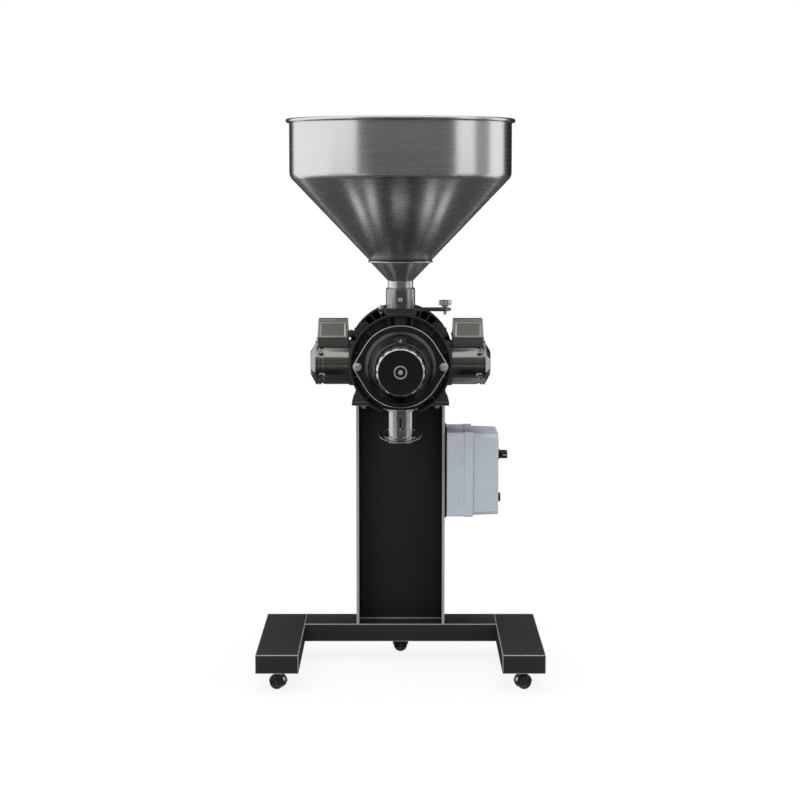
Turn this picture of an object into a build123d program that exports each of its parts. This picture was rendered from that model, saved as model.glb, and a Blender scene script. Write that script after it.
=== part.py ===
"""Floor-standing industrial coffee grinder: hopper, grinding head with two side motors, column, wheeled base.

Millimetres. +X is to the right of a person who faces the machine, +Y points to its back, +Z is up.
The origin lies on the floor, midway between the front of the base and the back of the fan cover.
"""
from build123d import *
import math
import os

os.makedirs("parts", exist_ok=True)

# Clearances
RUN_CLEARANCE = 0.05
SLIDE_CLEARANCE = 0.3
SEAT_CLEARANCE = 0.15

# Wheeled base
GROUND_CLEARANCE = 56.0
BASE_WIDTH = 805.0
BASE_DEPTH = 536.0
BASE_BACK = 180.0
LEG_WIDTH = 120.0
LEG_HEIGHT = 53.0
TUBE_WALL = 4.0
EDGE_ROUND = 3.0
CROSSBAR_DEPTH = 142.0

# Casters
WHEEL_RADIUS = 20.0
WHEEL_WIDTH = 13.0
WHEEL_GAP = 9.0
WHEEL_CHAMFER = 2.0
CASTER_TRAIL = 9.0
CASTER_TURN = 20.0
CASTER_AXLE_RADIUS = 3.0
CASTER_AXLE_INSET = 1.5
CASTER_BOSS_RADIUS = 8.0
CASTER_STEM_RADIUS = 5.0
CASTER_STEM_LENGTH = 36.0
CASTER_NECK_RADIUS = 8.0
CASTER_COLLAR_RADIUS = 11.0
CASTER_COLLAR_HEIGHT = 5.0
HOOD_RADIUS = 23.5
HOOD_WALL = 2.0
HOOD_WIDTH = 24.0
FRONT_CASTER_X = 343.0
FRONT_CASTER_INSET = 61.0
REAR_CASTER_INSET = 14.0

# Column
COLUMN_WIDTH = 260.0
COLUMN_HEIGHT = 650.0
COLUMN_SIDE = 8.0
COLUMN_BACK = 3.0
PANEL_THICKNESS = 3.0
PANEL_RECESS = 75.0
PANEL_LIP = 12.0
TOP_PLATE_WIDTH = 285.0
TOP_PLATE_THICKNESS = 10.5

# Grinding head, measured along the main shaft
SHAFT_HEIGHT = 114.0
CHAMBER_RADIUS = 112.0
CHAMBER_BORE = 84.0
CHAMBER_FRONT = -65.0
CHAMBER_FLANGE = 12.0
CHAMBER_BACK_WALL = -12.0
BELL_RADIUS = 147.6
BELL_WALL = 8.0
BELL_CHAMFER = 5.0
BELL_FRONT = -23.0
BELL_DEPTH = 15.0
BELL_WEB_BACK = 14.0
BELL_WEB_THICKNESS = 6.0
BELL_GAP_HALF = 54.0
BELL_GAP_REACH = 6.0
BELL_RIB_COUNT = 12
BELL_RIB_THICKNESS = 4.0
BELL_RIB_INSET = 8.0
LUG_OFFSET = 107.0
LUG_SIZE = 27.0
LUG_DEPTH = 20.0
LUG_STEP_X = 120.0
LUG_STEP_Z = 92.0
LUG_BOLT_RADIUS = 6.0
BARREL_RADIUS = 108.0
BARREL_BACK = 290.0
FIN_COUNT = 36
FIN_THICKNESS = 4.0
FIN_LENGTH = 34.0
FIN_BAND = 4.0
FOOT_SIDE_INSET = 2.5
FOOT_TAPER = 9.0
FOOT_HEIGHT = 34.0
FOOT_FLANGE = 9.0
FOOT_RIB = 12.0
FOOT_SHOULDER_INSET = 14.0
FOOT_SHOULDER_DROP = 43.3
FOOT_BOLT_INSET = 31.0
FOOT_BOLT_SPACING = 90.0
FOOT_BOLT_RADIUS = 6.0
GEAR_ROOM_RADIUS = 92.0
GEAR_ROOM_FRONT = 62.0
GEAR_ROOM_BACK = 222.0
REAR_POCKET_FRONT = 252.0
REAR_POCKET_INNER = 44.0
REAR_POCKET_OUTER = 96.0

# Main shaft and what it carries
SHAFT_RADIUS = 12.5
SHAFT_FRONT = -33.0
SHAFT_BACK = 322.0
BEARING_WALL = 2.0
FRONT_BEARING_WIDTH = 12.0
FRONT_BEARING_RADIUS = 23.5
REAR_BEARING_WIDTH = 15.0
REAR_BEARING_RADIUS = 31.0
REAR_BEARING_Y = 230.0
AUGER_RADIUS = 23.5
AUGER_BORE = 25.0
AUGER_ROOT = 15.5
AUGER_PITCH = 26.0
AUGER_FRONT = -13.0
AUGER_LENGTH = 52.0
AUGER_FLIGHT = 3.5
BURR_RADIUS = 70.0
BURR_BORE = 40.0
BURR_THICKNESS = 12.0
BURR_CONE = 6.6
BURR_GAP = 1.6
BURR_FACE_Y = -41.2
BURR_GROOVE_COUNT = 24
BURR_GROOVE_WIDTH = 3.2
BURR_GROOVE_DEPTH = 2.0
BURR_GROOVE_LEAN = 24.0
CARRIER_THICKNESS = 8.0
CARRIER_HUB_RADIUS = 18.0
CARRIER_ARM_COUNT = 3
CARRIER_ARM_WIDTH = 10.0
CARRIER_RING_WIDTH = 14.0

# Bevel gears between the motors and the main shaft
GEAR_MODULE = 2.2
PINION_TEETH = 15
CROWN_TEETH = 45
GEAR_FACE = 13.0
TOOTH_SHARE = 0.36
ADDENDUM = 0.75
DEDENDUM = 1.15
CROWN_BACK = 16.0
CROWN_HUB_RADIUS = 24.0
CROWN_HUB_LENGTH = 14.0
PINION_RIM = 2.0
PINION_HUB_WALL = 4.0
PINION_HUB_LENGTH = 8.0

# Cooling fan and its cover
FAN_RADIUS = 118.0
FAN_HUB_RADIUS = 26.0
FAN_DEPTH = 26.0
FAN_BLADE_COUNT = 8
FAN_BLADE_THICKNESS = 3.0
COWL_RADIUS = 160.0
COWL_WALL = 3.0
COWL_CORNER = 12.0
COWL_FRONT = 262.0
COWL_BACK = 356.0
COWL_SLOT_COUNT = 12
COWL_SLOT_WIDTH = 12.0
COWL_SLOT_INNER = 45.0
COWL_SLOT_OUTER = 118.0

# Front cover and grind adjustment
COVER_RADIUS = 119.0
COVER_PLATE = 12.0
COVER_LUG_RADIUS = 13.0
COVER_BOLT_X = 123.6
COVER_BOLT_RADIUS = 3.5
COVER_WASHER_RADIUS = 12.0
COVER_WASHER = 2.0
COVER_HEAD_RADIUS = 8.0
COVER_HEAD = 7.0
COVER_RING_RADIUS = 104.0
COVER_RING_HEIGHT = 8.0
COVER_CONE_BASE = 94.5
COVER_CONE_TOP = 73.0
COVER_NOSE = 76.0
COVER_WALL = 9.0
COVER_NOSE_WALL = 12.0
COVER_ROOM_RADIUS = 82.0
SPINDLE_RADIUS = 12.0
SPINDLE_COLLAR = 18.0
SPINDLE_COLLAR_WIDTH = 6.0
SPINDLE_SCREW_RADIUS = 10.0
SPINDLE_SCREW_LENGTH = 40.0
KNOB_GAP = 3.0
KNOB_RADIUS = 68.5
KNOB_FACE_RADIUS = 63.0
KNOB_SHOULDER = 9.0
KNOB_LENGTH = 92.0
KNOB_FLUTE_COUNT = 16
KNOB_FLUTE_RADIUS = 9.0
KNOB_FLUTE_DEPTH = 3.2
KNOB_WALL = 7.0
KNOB_FACE_WALL = 10.0
KNOB_HUB_RADIUS = 26.0
KNOB_RECESS_RADIUS = 16.7
KNOB_RECESS_DEPTH = 3.0
KNOB_SCREW_RADIUS = 6.5
BURR_BOSS_RADIUS = 20.0
BURR_BOSS_LENGTH = 34.0
BURR_PLATE = 10.0
GUIDE_PIN_RADIUS = 4.0
GUIDE_PIN_OFFSET = 50.0
GUIDE_PIN_ENGAGE = 6.0
GUIDE_PIN_ROOM = 2.0

# Side motors
MOTOR_Y = 68.0
MOTOR_RADIUS = 63.5
MOTOR_INNER = 150.0
MOTOR_SHELL_END = 233.0
MOTOR_BAND_END = 248.0
MOTOR_END = 263.0
MOTOR_END_FACE = 33.5
MOTOR_BAND_RADIUS = 64.5
MOTOR_GROOVE = 5.0
MOTOR_GROOVE_DEPTH = 2.0
MOTOR_GROOVE_WIDTH = 4.0
MOTOR_WALL = 5.0
MOTOR_FLANGE = 12.0
MOTOR_BOSS_RADIUS = 67.0
STATOR_BORE = 41.0
STATOR_START = 174.0
STATOR_LENGTH = 46.0
ROTOR_RADIUS = 40.0
MOTOR_SHAFT_RADIUS = 8.5
MOTOR_BEARING_RADIUS = 20.0
MOTOR_BEARING_WIDTH = 12.0
MOTOR_TIE_Z = 31.0
MOTOR_TIE_RADIUS = 5.5
MOTOR_TIE_LENGTH = 11.0
MOTOR_SHAFT_BORE = 22.0
MOTOR_BORE_START = 30.0

# Terminal boxes on the motors
TERMINAL_INNER = 151.5
TERMINAL_OUTER = 242.6
TERMINAL_DEPTH = 86.0
TERMINAL_SEAM = 76.5
TERMINAL_TOP = 128.5
TERMINAL_WALL = 3.0
TERMINAL_LID_WALL = 6.0
TERMINAL_RIM = 3.0
TERMINAL_RIM_HEIGHT = 4.0
TERMINAL_CORNER = 5.0
TERMINAL_DRAFT = 3.0
TERMINAL_FRAME = 9.0
TERMINAL_FRAME_DEPTH = 4.0
TERMINAL_FRAME_BOTTOM = 4.0
TERMINAL_FRAME_TOP = 5.0
GLAND_RADIUS = 10.0
GLAND_Y = 36.0
GLAND_Z = 87.0
GLAND_NUT_RADIUS = 12.0
GLAND_NUT_LENGTH = 7.0
GLAND_STUB_RADIUS = 5.0
GLAND_STUB_LENGTH = 4.0

# Feed throat, gate and hopper
FEED_Y = 23.0
THROAT_RADIUS = 25.0
NECK_RADIUS = 31.0
NECK_TOP = 148.5
GATE_WIDTH = 90.0
GATE_DEPTH = 78.0
GATE_HEIGHT = 15.0
GATE_FLANGE = 6.0
GATE_CHANNEL = 9.0
GATE_WALL = 8.0
GATE_THROAT_RADIUS = 27.0
SLIDE_THICKNESS = 8.4
SLIDE_WIDTH = 58.0
SLIDE_INNER = 28.5
SLIDE_OUTER = 146.7
SLIDE_KNOB_X = 129.0
THUMB_RADIUS = 19.0
THUMB_HEIGHT = 14.0
THUMB_BOTTOM = 8.0
THUMB_SHANK_RADIUS = 9.6
THUMB_STUD_RADIUS = 4.6
THUMB_STUD_LENGTH = 11.0
THUMB_LOBE_COUNT = 7
THUMB_SCALLOP_RADIUS = 6.0
THUMB_SCALLOP_OFFSET = 3.5
CLAMP_X = 55.0
CLAMP_EAR_LENGTH = 19.0
CLAMP_EAR_WIDTH = 20.0
CLAMP_EAR_THICKNESS = 8.0
CLAMP_EAR_DROP = 4.0
CLAMP_BOLT_RADIUS = 4.0
CLAMP_HEAD_RADIUS = 7.5
CLAMP_HEAD_HEIGHT = 12.0
FEED_TUBE_RADIUS = 42.5
FEED_TUBE_HEIGHT = 59.0
FEED_TUBE_CHAMFER = 4.0
FEED_SCREW_RADIUS = 6.5
FEED_SCREW_HEAD = 3.0
FEED_SCREW_SHANK = 3.0
FEED_SCREW_Z = 25.0
FEED_NOTCH_X = 33.0
FEED_NOTCH = 3.0
FEED_NOTCH_LOW = 4.0
FEED_NOTCH_HIGH = 11.0
SPIGOT_RADIUS = 36.85
SPIGOT_DEPTH = 34.0
SPIGOT_REACH = 20.0
HOPPER_WALL = 2.0
CONE_SLOPE = 0.955
HOPPER_LAP = 22.0
HOPPER_SEAM_RADIUS = 90.0
HOPPER_RING = 2.6
HOPPER_RADIUS = 320.0
HOPPER_SIDE_HEIGHT = 159.0
HOPPER_BEAD = 5.5
HOPPER_BEAD_LAP = 1.0

# Spout and bag ring
SPOUT_Y = -42.0
SPOUT_FLANGE_RADIUS = 50.0
SPOUT_FLANGE = 6.0
OUTLET_DROP = 2.0
OUTLET_HALF_WIDTH = 30.0
OUTLET_FRONT = -60.0
OUTLET_BACK = -15.0
OUTLET_WALL = 5.0
SPOUT_TUBE_RADIUS = 33.0
SPOUT_WALL = 2.0
SPOUT_TUBE_LENGTH = 74.0
SLEEVE_RADIUS = 35.6
SLEEVE_TOP_GAP = 3.0
SLEEVE_LENGTH = 91.5
SLEEVE_RIM_RADIUS = 49.5
SLEEVE_RIM_HEIGHT = 15.0
SLEEVE_RIM = 3.0
SLOT_WIDTH = 6.0
SLOT_TOP = 17.0
SLOT_LENGTH = 35.0
SLOT_HOOK = 7.0
PIN_RADIUS = 2.6
PIN_REACH = 4.0
RING_OUTER = 62.0
RING_INNER = 53.5
RING_THICKNESS = 3.0
RING_TILT = 16.0
RING_HINGE_Z = 41.0
RING_HINGE_REACH = 68.0
RING_PIN_RADIUS = 2.5
RING_KNUCKLE_RADIUS = 5.5
RING_KNUCKLE_WIDTH = 12.0
RING_LUG_WIDTH = 6.0
RING_LUG_HEIGHT = 8.0

# Control box
BOX_GAP = 6.0
BOX_BASE_DEPTH = 76.0
BOX_LID_DEPTH = 74.0
BOX_LENGTH = 210.0
BOX_HEIGHT = 248.0
BOX_BOTTOM = 436.0
BOX_WALL = 4.5
BOX_CORNER = 6.0
BOX_LID_STEP = 3.0
BOX_LID_DRAFT = 2.0
BOX_LID_CHAMFER = 2.5
RAIL_WIDTH = 30.0
RAIL_INSET = 4.0
RAIL_OVERHANG = 8.0
BOX_RIDGE_X = 50.0
BOX_RIDGE = 1.5
KNOCKOUT_COUNT = 5
KNOCKOUT_LARGE = 14.0
KNOCKOUT_SMALL = 9.5
KNOCKOUT_LINE = 1.6
KNOCKOUT_DEPTH = 1.0
KNOCKOUT_PITCH = 40.5
KNOCKOUT_X = 28.0
SWITCH_Z = 171.0
SWITCH_PLATE_WIDTH = 48.0
SWITCH_PLATE_HEIGHT = 52.0
SWITCH_PLATE_RISE = 13.0
SWITCH_PLATE = 4.0
SWITCH_HUB_RADIUS = 15.0
SWITCH_HUB = 6.0
SWITCH_GRIP_LENGTH = 46.0
SWITCH_GRIP_WIDTH = 20.0
SWITCH_GRIP_DEPTH = 20.0
SWITCH_GRIP_CHAMFER = 3.0
SWITCH_STEM_RADIUS = 5.0
SWITCH_STEM_TAIL = 4.0
BUTTON_Z = 42.5
BUTTON_RADIUS = 13.0
BUTTON_COLLAR_RADIUS = 15.5
BUTTON_COLLAR = 3.0
BUTTON_PROUD = 11.0
BUTTON_TAIL = 8.0
BUTTON_FLANGE = 2.0

# Heights and places that follow from the sizes above
base_bottom = GROUND_CLEARANCE
base_front = BASE_BACK - BASE_DEPTH
base_top = base_bottom + LEG_HEIGHT
base_mid_z = (base_bottom + base_top) / 2
crossbar_front = BASE_BACK - CROSSBAR_DEPTH
column_mid_y = BASE_BACK - CROSSBAR_DEPTH / 2
column_top = base_top + COLUMN_HEIGHT
plate_top = column_top + TOP_PLATE_THICKNESS
foot_half = TOP_PLATE_WIDTH / 2 - FOOT_SIDE_INSET
foot_top_half = foot_half - FOOT_TAPER
foot_bolt_x = foot_half - FOOT_BOLT_INSET
axis_z = plate_top + SHAFT_HEIGHT
fixed_face_y = BURR_FACE_Y - BURR_GAP
burr_plate_back = fixed_face_y - BURR_THICKNESS
burr_plate_front = burr_plate_back - BURR_PLATE
cover_front = CHAMBER_FRONT - COVER_PLATE
nose_front = cover_front - COVER_NOSE
nose_inside = nose_front + COVER_NOSE_WALL
knob_back = nose_front - KNOB_GAP
knob_front = knob_back - KNOB_LENGTH
front_bearing_y = FEED_Y + THROAT_RADIUS + BEARING_WALL
motor_bearing_starts = (MOTOR_INNER, MOTOR_SHELL_END)
neck_top = axis_z + NECK_TOP
gate_top = neck_top + GATE_HEIGHT
clamp_ear_top = gate_top - CLAMP_EAR_DROP
clamp_ear_bottom = clamp_ear_top - CLAMP_EAR_THICKNESS
tube_top = gate_top + FEED_TUBE_HEIGHT
spigot_top = tube_top + SPIGOT_REACH
outlet_bottom = axis_z - COVER_RADIUS - OUTLET_DROP
sleeve_top = outlet_bottom - SPOUT_FLANGE - SLEEVE_TOP_GAP
sleeve_bottom = sleeve_top - SLEEVE_LENGTH
box_left = COLUMN_WIDTH / 2 + BOX_GAP
box_seam = box_left + BOX_BASE_DEPTH
box_right = box_seam + BOX_LID_DEPTH
wall_run = HOPPER_WALL * math.hypot(1.0, CONE_SLOPE)
inner_rise = (wall_run - HOPPER_WALL) / CONE_SLOPE


def block(x0, x1, y0, y1, z0, z1):
    """Box between two corners."""
    return Pos((x0 + x1) / 2, (y0 + y1) / 2, (z0 + z1) / 2) * Box(abs(x1 - x0), abs(y1 - y0), abs(z1 - z0))


def rod_x(radius, x0, x1, y, z):
    """Cylinder along X."""
    return Pos((x0 + x1) / 2, y, z) * Rot(0, 90, 0) * Cylinder(radius, abs(x1 - x0))


def rod_y(radius, y0, y1, x=0.0, z=axis_z):
    """Cylinder along Y."""
    return Pos(x, (y0 + y1) / 2, z) * Rot(90, 0, 0) * Cylinder(radius, abs(y1 - y0))


def rod_z(radius, z0, z1, x=0.0, y=0.0):
    """Cylinder along Z."""
    return Pos(x, y, (z0 + z1) / 2) * Cylinder(radius, abs(z1 - z0))


def turned_y(points):
    """Solid of revolution about the main axis from (radius, y) points."""
    profile = make_face(Polyline(*points, close=True))
    return Pos(0, 0, axis_z) * revolve(profile, Axis.Y)


def turned_z(points, x=0.0, y=0.0):
    """Solid of revolution about a vertical axis from (radius, z) points."""
    profile = make_face(Polyline(*[(r, 0, z) for r, z in points], close=True))
    return Pos(x, y, 0) * revolve(profile, Axis.Z)


def turned_x(points, side):
    """Solid of revolution about the motors' axis from (radius, distance) points; side is +1 or -1."""
    profile = make_face(Polyline(*[(side * d, r) for r, d in points], close=True))
    return Pos(0, MOTOR_Y, axis_z) * revolve(profile, Axis.X)


def around_y(shape, count, start=0.0):
    """Copies of a shape spread evenly about the main axis."""
    centre = Pos(0, 0, axis_z)
    back = Pos(0, 0, -axis_z)
    turns = [start + 360.0 * i / count for i in range(count)]
    return [centre * Rot(0, angle, 0) * back * shape for angle in turns]


def outline_y(face, y0, y1):
    """Extrudes a face drawn in the X-Z plane, centred on the main axis, from y0 to y1."""
    return Pos(0, y1, axis_z) * extrude(Plane.XZ * face, amount=y1 - y0)


def hexagon_z(across_corners, z0, z1, x, y):
    """Upright hexagonal prism."""
    return Pos(x, y, z0) * extrude(RegularPolygon(across_corners, 6), amount=z1 - z0)


def save(shape, node):
    """Writes one piece, or one group of like pieces, to its own file."""
    if isinstance(shape, list):
        shape = Compound(shape)
    export_step(shape, "parts/" + node + ".step")


def stem_socket(tube, x, y):
    """Adds the socket tube that a caster's stem turns in."""
    socket = rod_z(CASTER_STEM_RADIUS + TUBE_WALL, base_bottom, base_top - TUBE_WALL, x, y)
    bore_top = base_bottom + CASTER_STEM_LENGTH + 1.0
    bore = rod_z(CASTER_STEM_RADIUS + RUN_CLEARANCE, base_bottom, bore_top, x, y)
    return tube + socket - bore


def base():
    """Two rectangular tube legs, their end plates and the crossbar that joins them."""
    x_out = BASE_WIDTH / 2
    x_in = x_out - LEG_WIDTH
    mid_x = (x_out + x_in) / 2
    mid_y = (base_front + BASE_BACK) / 2
    section = RectangleRounded(LEG_WIDTH, LEG_HEIGHT, EDGE_ROUND)
    caster_y = base_front + FRONT_CASTER_INSET
    legs = []
    plates = []
    for side in (-1, 1):
        tube = extrude(section, amount=BASE_DEPTH / 2 - TUBE_WALL, both=True)
        tube = Pos(side * mid_x, mid_y, base_mid_z) * Rot(90, 0, 0) * tube
        hollow = block(side * mid_x - LEG_WIDTH / 2 + TUBE_WALL, side * mid_x + LEG_WIDTH / 2 - TUBE_WALL,
                       base_front, BASE_BACK, base_bottom + TUBE_WALL, base_top - TUBE_WALL)
        stem_x = side * (FRONT_CASTER_X - CASTER_TRAIL)
        legs.append(stem_socket(tube - hollow, stem_x, caster_y))
        for y in (base_front + TUBE_WALL, BASE_BACK):
            plate = extrude(section, amount=TUBE_WALL)
            plates.append(Pos(side * mid_x, y, base_mid_z) * Rot(90, 0, 0) * plate)
    save(legs, "base_legs")
    save(plates, "leg_end_plates")
    bar = block(-x_in, x_in, crossbar_front, BASE_BACK, base_bottom, base_top)
    bar = bar - block(-x_in, x_in, crossbar_front + TUBE_WALL, BASE_BACK - TUBE_WALL,
                      base_bottom + TUBE_WALL, base_top - TUBE_WALL)
    save(stem_socket(bar, -CASTER_TRAIL, BASE_BACK - REAR_CASTER_INSET), "base_crossbar")


def caster(name, stem_x, stem_y, side, turn):
    """Swivel caster: two wheels on an axle, and the hood, web and stem that carry it."""
    place = Pos(stem_x, stem_y, 0) * Rot(0, 0, turn)
    wheel_x = side * CASTER_TRAIL
    gap_half = WHEEL_GAP / 2
    face_half = gap_half + WHEEL_WIDTH
    bore = rod_y(CASTER_AXLE_RADIUS + RUN_CLEARANCE, -face_half, face_half, wheel_x, WHEEL_RADIUS)
    wheels = []
    for front in (-face_half, gap_half):
        disc = rod_y(WHEEL_RADIUS, front, front + WHEEL_WIDTH, wheel_x, WHEEL_RADIUS)
        wheels.append(place * (chamfer(disc.edges().filter_by(GeomType.CIRCLE), WHEEL_CHAMFER) - bore))
    save(wheels, "caster_wheel_" + name)

    half = HOOD_WIDTH / 2
    room = rod_y(HOOD_RADIUS - HOOD_WALL, -half, half, wheel_x, WHEEL_RADIUS)
    below = block(wheel_x - HOOD_RADIUS - 1.0, wheel_x + HOOD_RADIUS + 1.0, -half, half,
                  WHEEL_RADIUS - HOOD_RADIUS - 1.0, WHEEL_RADIUS)
    shell = rod_y(HOOD_RADIUS, -half, half, wheel_x, WHEEL_RADIUS) - room - below
    web_half = gap_half - SLIDE_CLEARANCE
    web = rod_y(HOOD_RADIUS - HOOD_WALL / 2, -web_half, web_half, wheel_x, WHEEL_RADIUS) - below
    web = web + rod_y(CASTER_BOSS_RADIUS, -web_half, web_half, wheel_x, WHEEL_RADIUS)
    top = GROUND_CLEARANCE - SLIDE_CLEARANCE
    neck = rod_z(CASTER_NECK_RADIUS, WHEEL_RADIUS + HOOD_RADIUS / 2, top) - room
    collar = rod_z(CASTER_COLLAR_RADIUS, top - CASTER_COLLAR_HEIGHT, top)
    stem = rod_z(CASTER_STEM_RADIUS, top - CASTER_COLLAR_HEIGHT, GROUND_CLEARANCE + CASTER_STEM_LENGTH)
    axle = rod_y(CASTER_AXLE_RADIUS, CASTER_AXLE_INSET - face_half, face_half - CASTER_AXLE_INSET,
                 wheel_x, WHEEL_RADIUS)
    fork = shell + web + neck + collar + stem - axle
    save([place * fork, place * axle], "caster_fork_" + name)


def casters():
    """Two casters at the front, one under the middle of the crossbar."""
    front_y = base_front + FRONT_CASTER_INSET
    stem_x = FRONT_CASTER_X - CASTER_TRAIL
    caster("front_left", -stem_x, front_y, -1, -CASTER_TURN)
    caster("front_right", stem_x, front_y, 1, CASTER_TURN)
    caster("rear", -CASTER_TRAIL, BASE_BACK - REAR_CASTER_INSET, 1, 0.0)


def foot_bolt_places():
    """Centres of the four bolts that hold the head on the column."""
    half = FOOT_BOLT_SPACING / 2
    return [(x, column_mid_y + dy) for x in (-foot_bolt_x, foot_bolt_x) for dy in (-half, half)]


def column():
    """Folded column open to the front, the recessed panel inside it and the plate on its top."""
    half = COLUMN_WIDTH / 2
    inner = half - COLUMN_SIDE
    frame = block(-half, half, crossbar_front, BASE_BACK, base_top, column_top)
    frame = frame - block(-inner, inner, crossbar_front, BASE_BACK - COLUMN_BACK, base_top, column_top)
    save(frame, "column_frame")
    panel_front = crossbar_front + PANEL_RECESS
    panel = block(-inner, inner, panel_front, panel_front + PANEL_THICKNESS, base_top, column_top)
    for side in (-1, 1):
        panel = panel + block(side * inner, side * (inner - PANEL_THICKNESS), panel_front,
                              panel_front + PANEL_LIP, base_top, column_top)
    save(panel, "column_front_panel")
    plate = block(-TOP_PLATE_WIDTH / 2, TOP_PLATE_WIDTH / 2, crossbar_front, BASE_BACK, column_top, plate_top)
    for x, y in foot_bolt_places():
        plate = plate - rod_z(FOOT_BOLT_RADIUS + SEAT_CLEARANCE, column_top, plate_top, x, y)
    save(plate, "column_top_plate")


def foot_bolts():
    """Hexagon bolts through the feet with nuts under the column's top plate."""
    pieces = []
    head = FOOT_BOLT_RADIUS * 1.7
    nut = FOOT_BOLT_RADIUS * 1.3
    seat = plate_top + FOOT_FLANGE
    for x, y in foot_bolt_places():
        bolt = rod_z(FOOT_BOLT_RADIUS, column_top - head, seat, x, y)
        bolt = bolt + hexagon_z(head, seat, seat + nut, x, y)
        pieces.append(bolt + hexagon_z(head, column_top - nut, column_top, x, y))
    return pieces


def diamond(radius, lug_radius, lug_x):
    """Round plate with a tangent lug on each side."""
    angle = math.acos((radius - lug_radius) / lug_x)
    corners = []
    for sx, sz in ((1, 1), (-1, 1), (-1, -1), (1, -1)):
        big = (sx * radius * math.cos(angle), sz * radius * math.sin(angle))
        small = (sx * (lug_x + lug_radius * math.cos(angle)), sz * lug_radius * math.sin(angle))
        corners += [small, big] if sx == sz else [big, small]
    face = make_face(Polyline(*corners, close=True)) + Circle(radius)
    return face + Pos(lug_x, 0) * Circle(lug_radius) + Pos(-lug_x, 0) * Circle(lug_radius)


def chamber_body():
    """Outside of the grinding chamber: a tube with the cover's flange round its mouth."""
    tube = rod_y(CHAMBER_RADIUS, CHAMBER_FRONT + 1.0, CHAMBER_BACK_WALL)
    return tube + outline_y(diamond(COVER_RADIUS - 1.0, COVER_LUG_RADIUS, COVER_BOLT_X),
                            CHAMBER_FRONT, CHAMBER_FRONT + CHAMBER_FLANGE)


def barrel_body():
    """Outside of the throat and gear housings: two round steps."""
    throat = rod_y(CHAMBER_RADIUS, CHAMBER_BACK_WALL, BELL_WEB_BACK)
    return throat + rod_y(BARREL_RADIUS, BELL_WEB_BACK, BARREL_BACK)


def flange_body(side):
    """Outside of the round flange that one motor stands on."""
    return rod_x(MOTOR_BOSS_RADIUS, side * MOTOR_BORE_START, side * MOTOR_INNER, MOTOR_Y, axis_z)


def gear_body():
    """Outside of the housings with both motor flanges."""
    return barrel_body() + flange_body(-1) + flange_body(1)


def neck_body():
    """Outside of the feed neck: a round pipe with the flange that the gate stands on."""
    return rod_z(NECK_RADIUS, axis_z, neck_top, 0, FEED_Y) + block(
        -GATE_WIDTH / 2, GATE_WIDTH / 2, FEED_Y - GATE_DEPTH / 2, FEED_Y + GATE_DEPTH / 2,
        neck_top - GATE_FLANGE, neck_top)


def chamber():
    """Grinding chamber with its outlet hole and the holes for the cover's bolts."""
    body = chamber_body() - rod_y(CHAMBER_BORE, CHAMBER_FRONT, CHAMBER_BACK_WALL)
    for side in (-1, 1):
        body = body - rod_y(COVER_BOLT_RADIUS + SEAT_CLEARANCE, CHAMBER_FRONT, CHAMBER_FRONT + CHAMBER_FLANGE,
                            side * COVER_BOLT_X)
    save(body - outlet_hole(), "grinding_chamber")


def outlet_hole():
    """Hole through the chamber's floor that the ground coffee falls through."""
    return block(-OUTLET_HALF_WIDTH, OUTLET_HALF_WIDTH, OUTLET_FRONT, OUTLET_BACK,
                 outlet_bottom, axis_z - CHAMBER_BORE / 2)


def gear_housing():
    """Throat housing with the auger's bore, and the gear housing behind it with both motor flanges."""
    shaft_bores = [rod_x(MOTOR_SHAFT_BORE, side * MOTOR_BORE_START, side * MOTOR_INNER, MOTOR_Y, axis_z)
                   for side in (-1, 1)]
    body = barrel_body() - shaft_bores
    body = body - rod_y(AUGER_BORE, CHAMBER_BACK_WALL, FEED_Y + THROAT_RADIUS)
    body = body - rod_z(THROAT_RADIUS, axis_z, neck_top, 0, FEED_Y)
    body = body - rod_y(SHAFT_RADIUS + 1.0, CHAMBER_BACK_WALL, REAR_BEARING_Y)
    body = body - rod_y(FRONT_BEARING_RADIUS, front_bearing_y, GEAR_ROOM_FRONT)
    body = body - rod_y(GEAR_ROOM_RADIUS, GEAR_ROOM_FRONT, GEAR_ROOM_BACK)
    body = body - rod_y(REAR_BEARING_RADIUS, REAR_BEARING_Y, BARREL_BACK)
    pocket = rod_y(REAR_POCKET_OUTER, REAR_POCKET_FRONT, BARREL_BACK)
    body = body - (pocket - rod_y(REAR_POCKET_INNER, REAR_POCKET_FRONT, BARREL_BACK))
    front = rod_y(MOTOR_INNER, CHAMBER_BACK_WALL, front_bearing_y)
    save(body & front, "throat_housing")
    flanges = [flange_body(side) - barrel_body() - shaft_bores for side in (-1, 1)]
    save([body - front, *flanges], "gear_housing")


def feed_neck():
    """Neck from the throat up to the gate, fitted over the gear housing."""
    save(neck_body() - gear_body() - rod_z(THROAT_RADIUS, axis_z, neck_top, 0, FEED_Y), "feed_neck")


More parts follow.
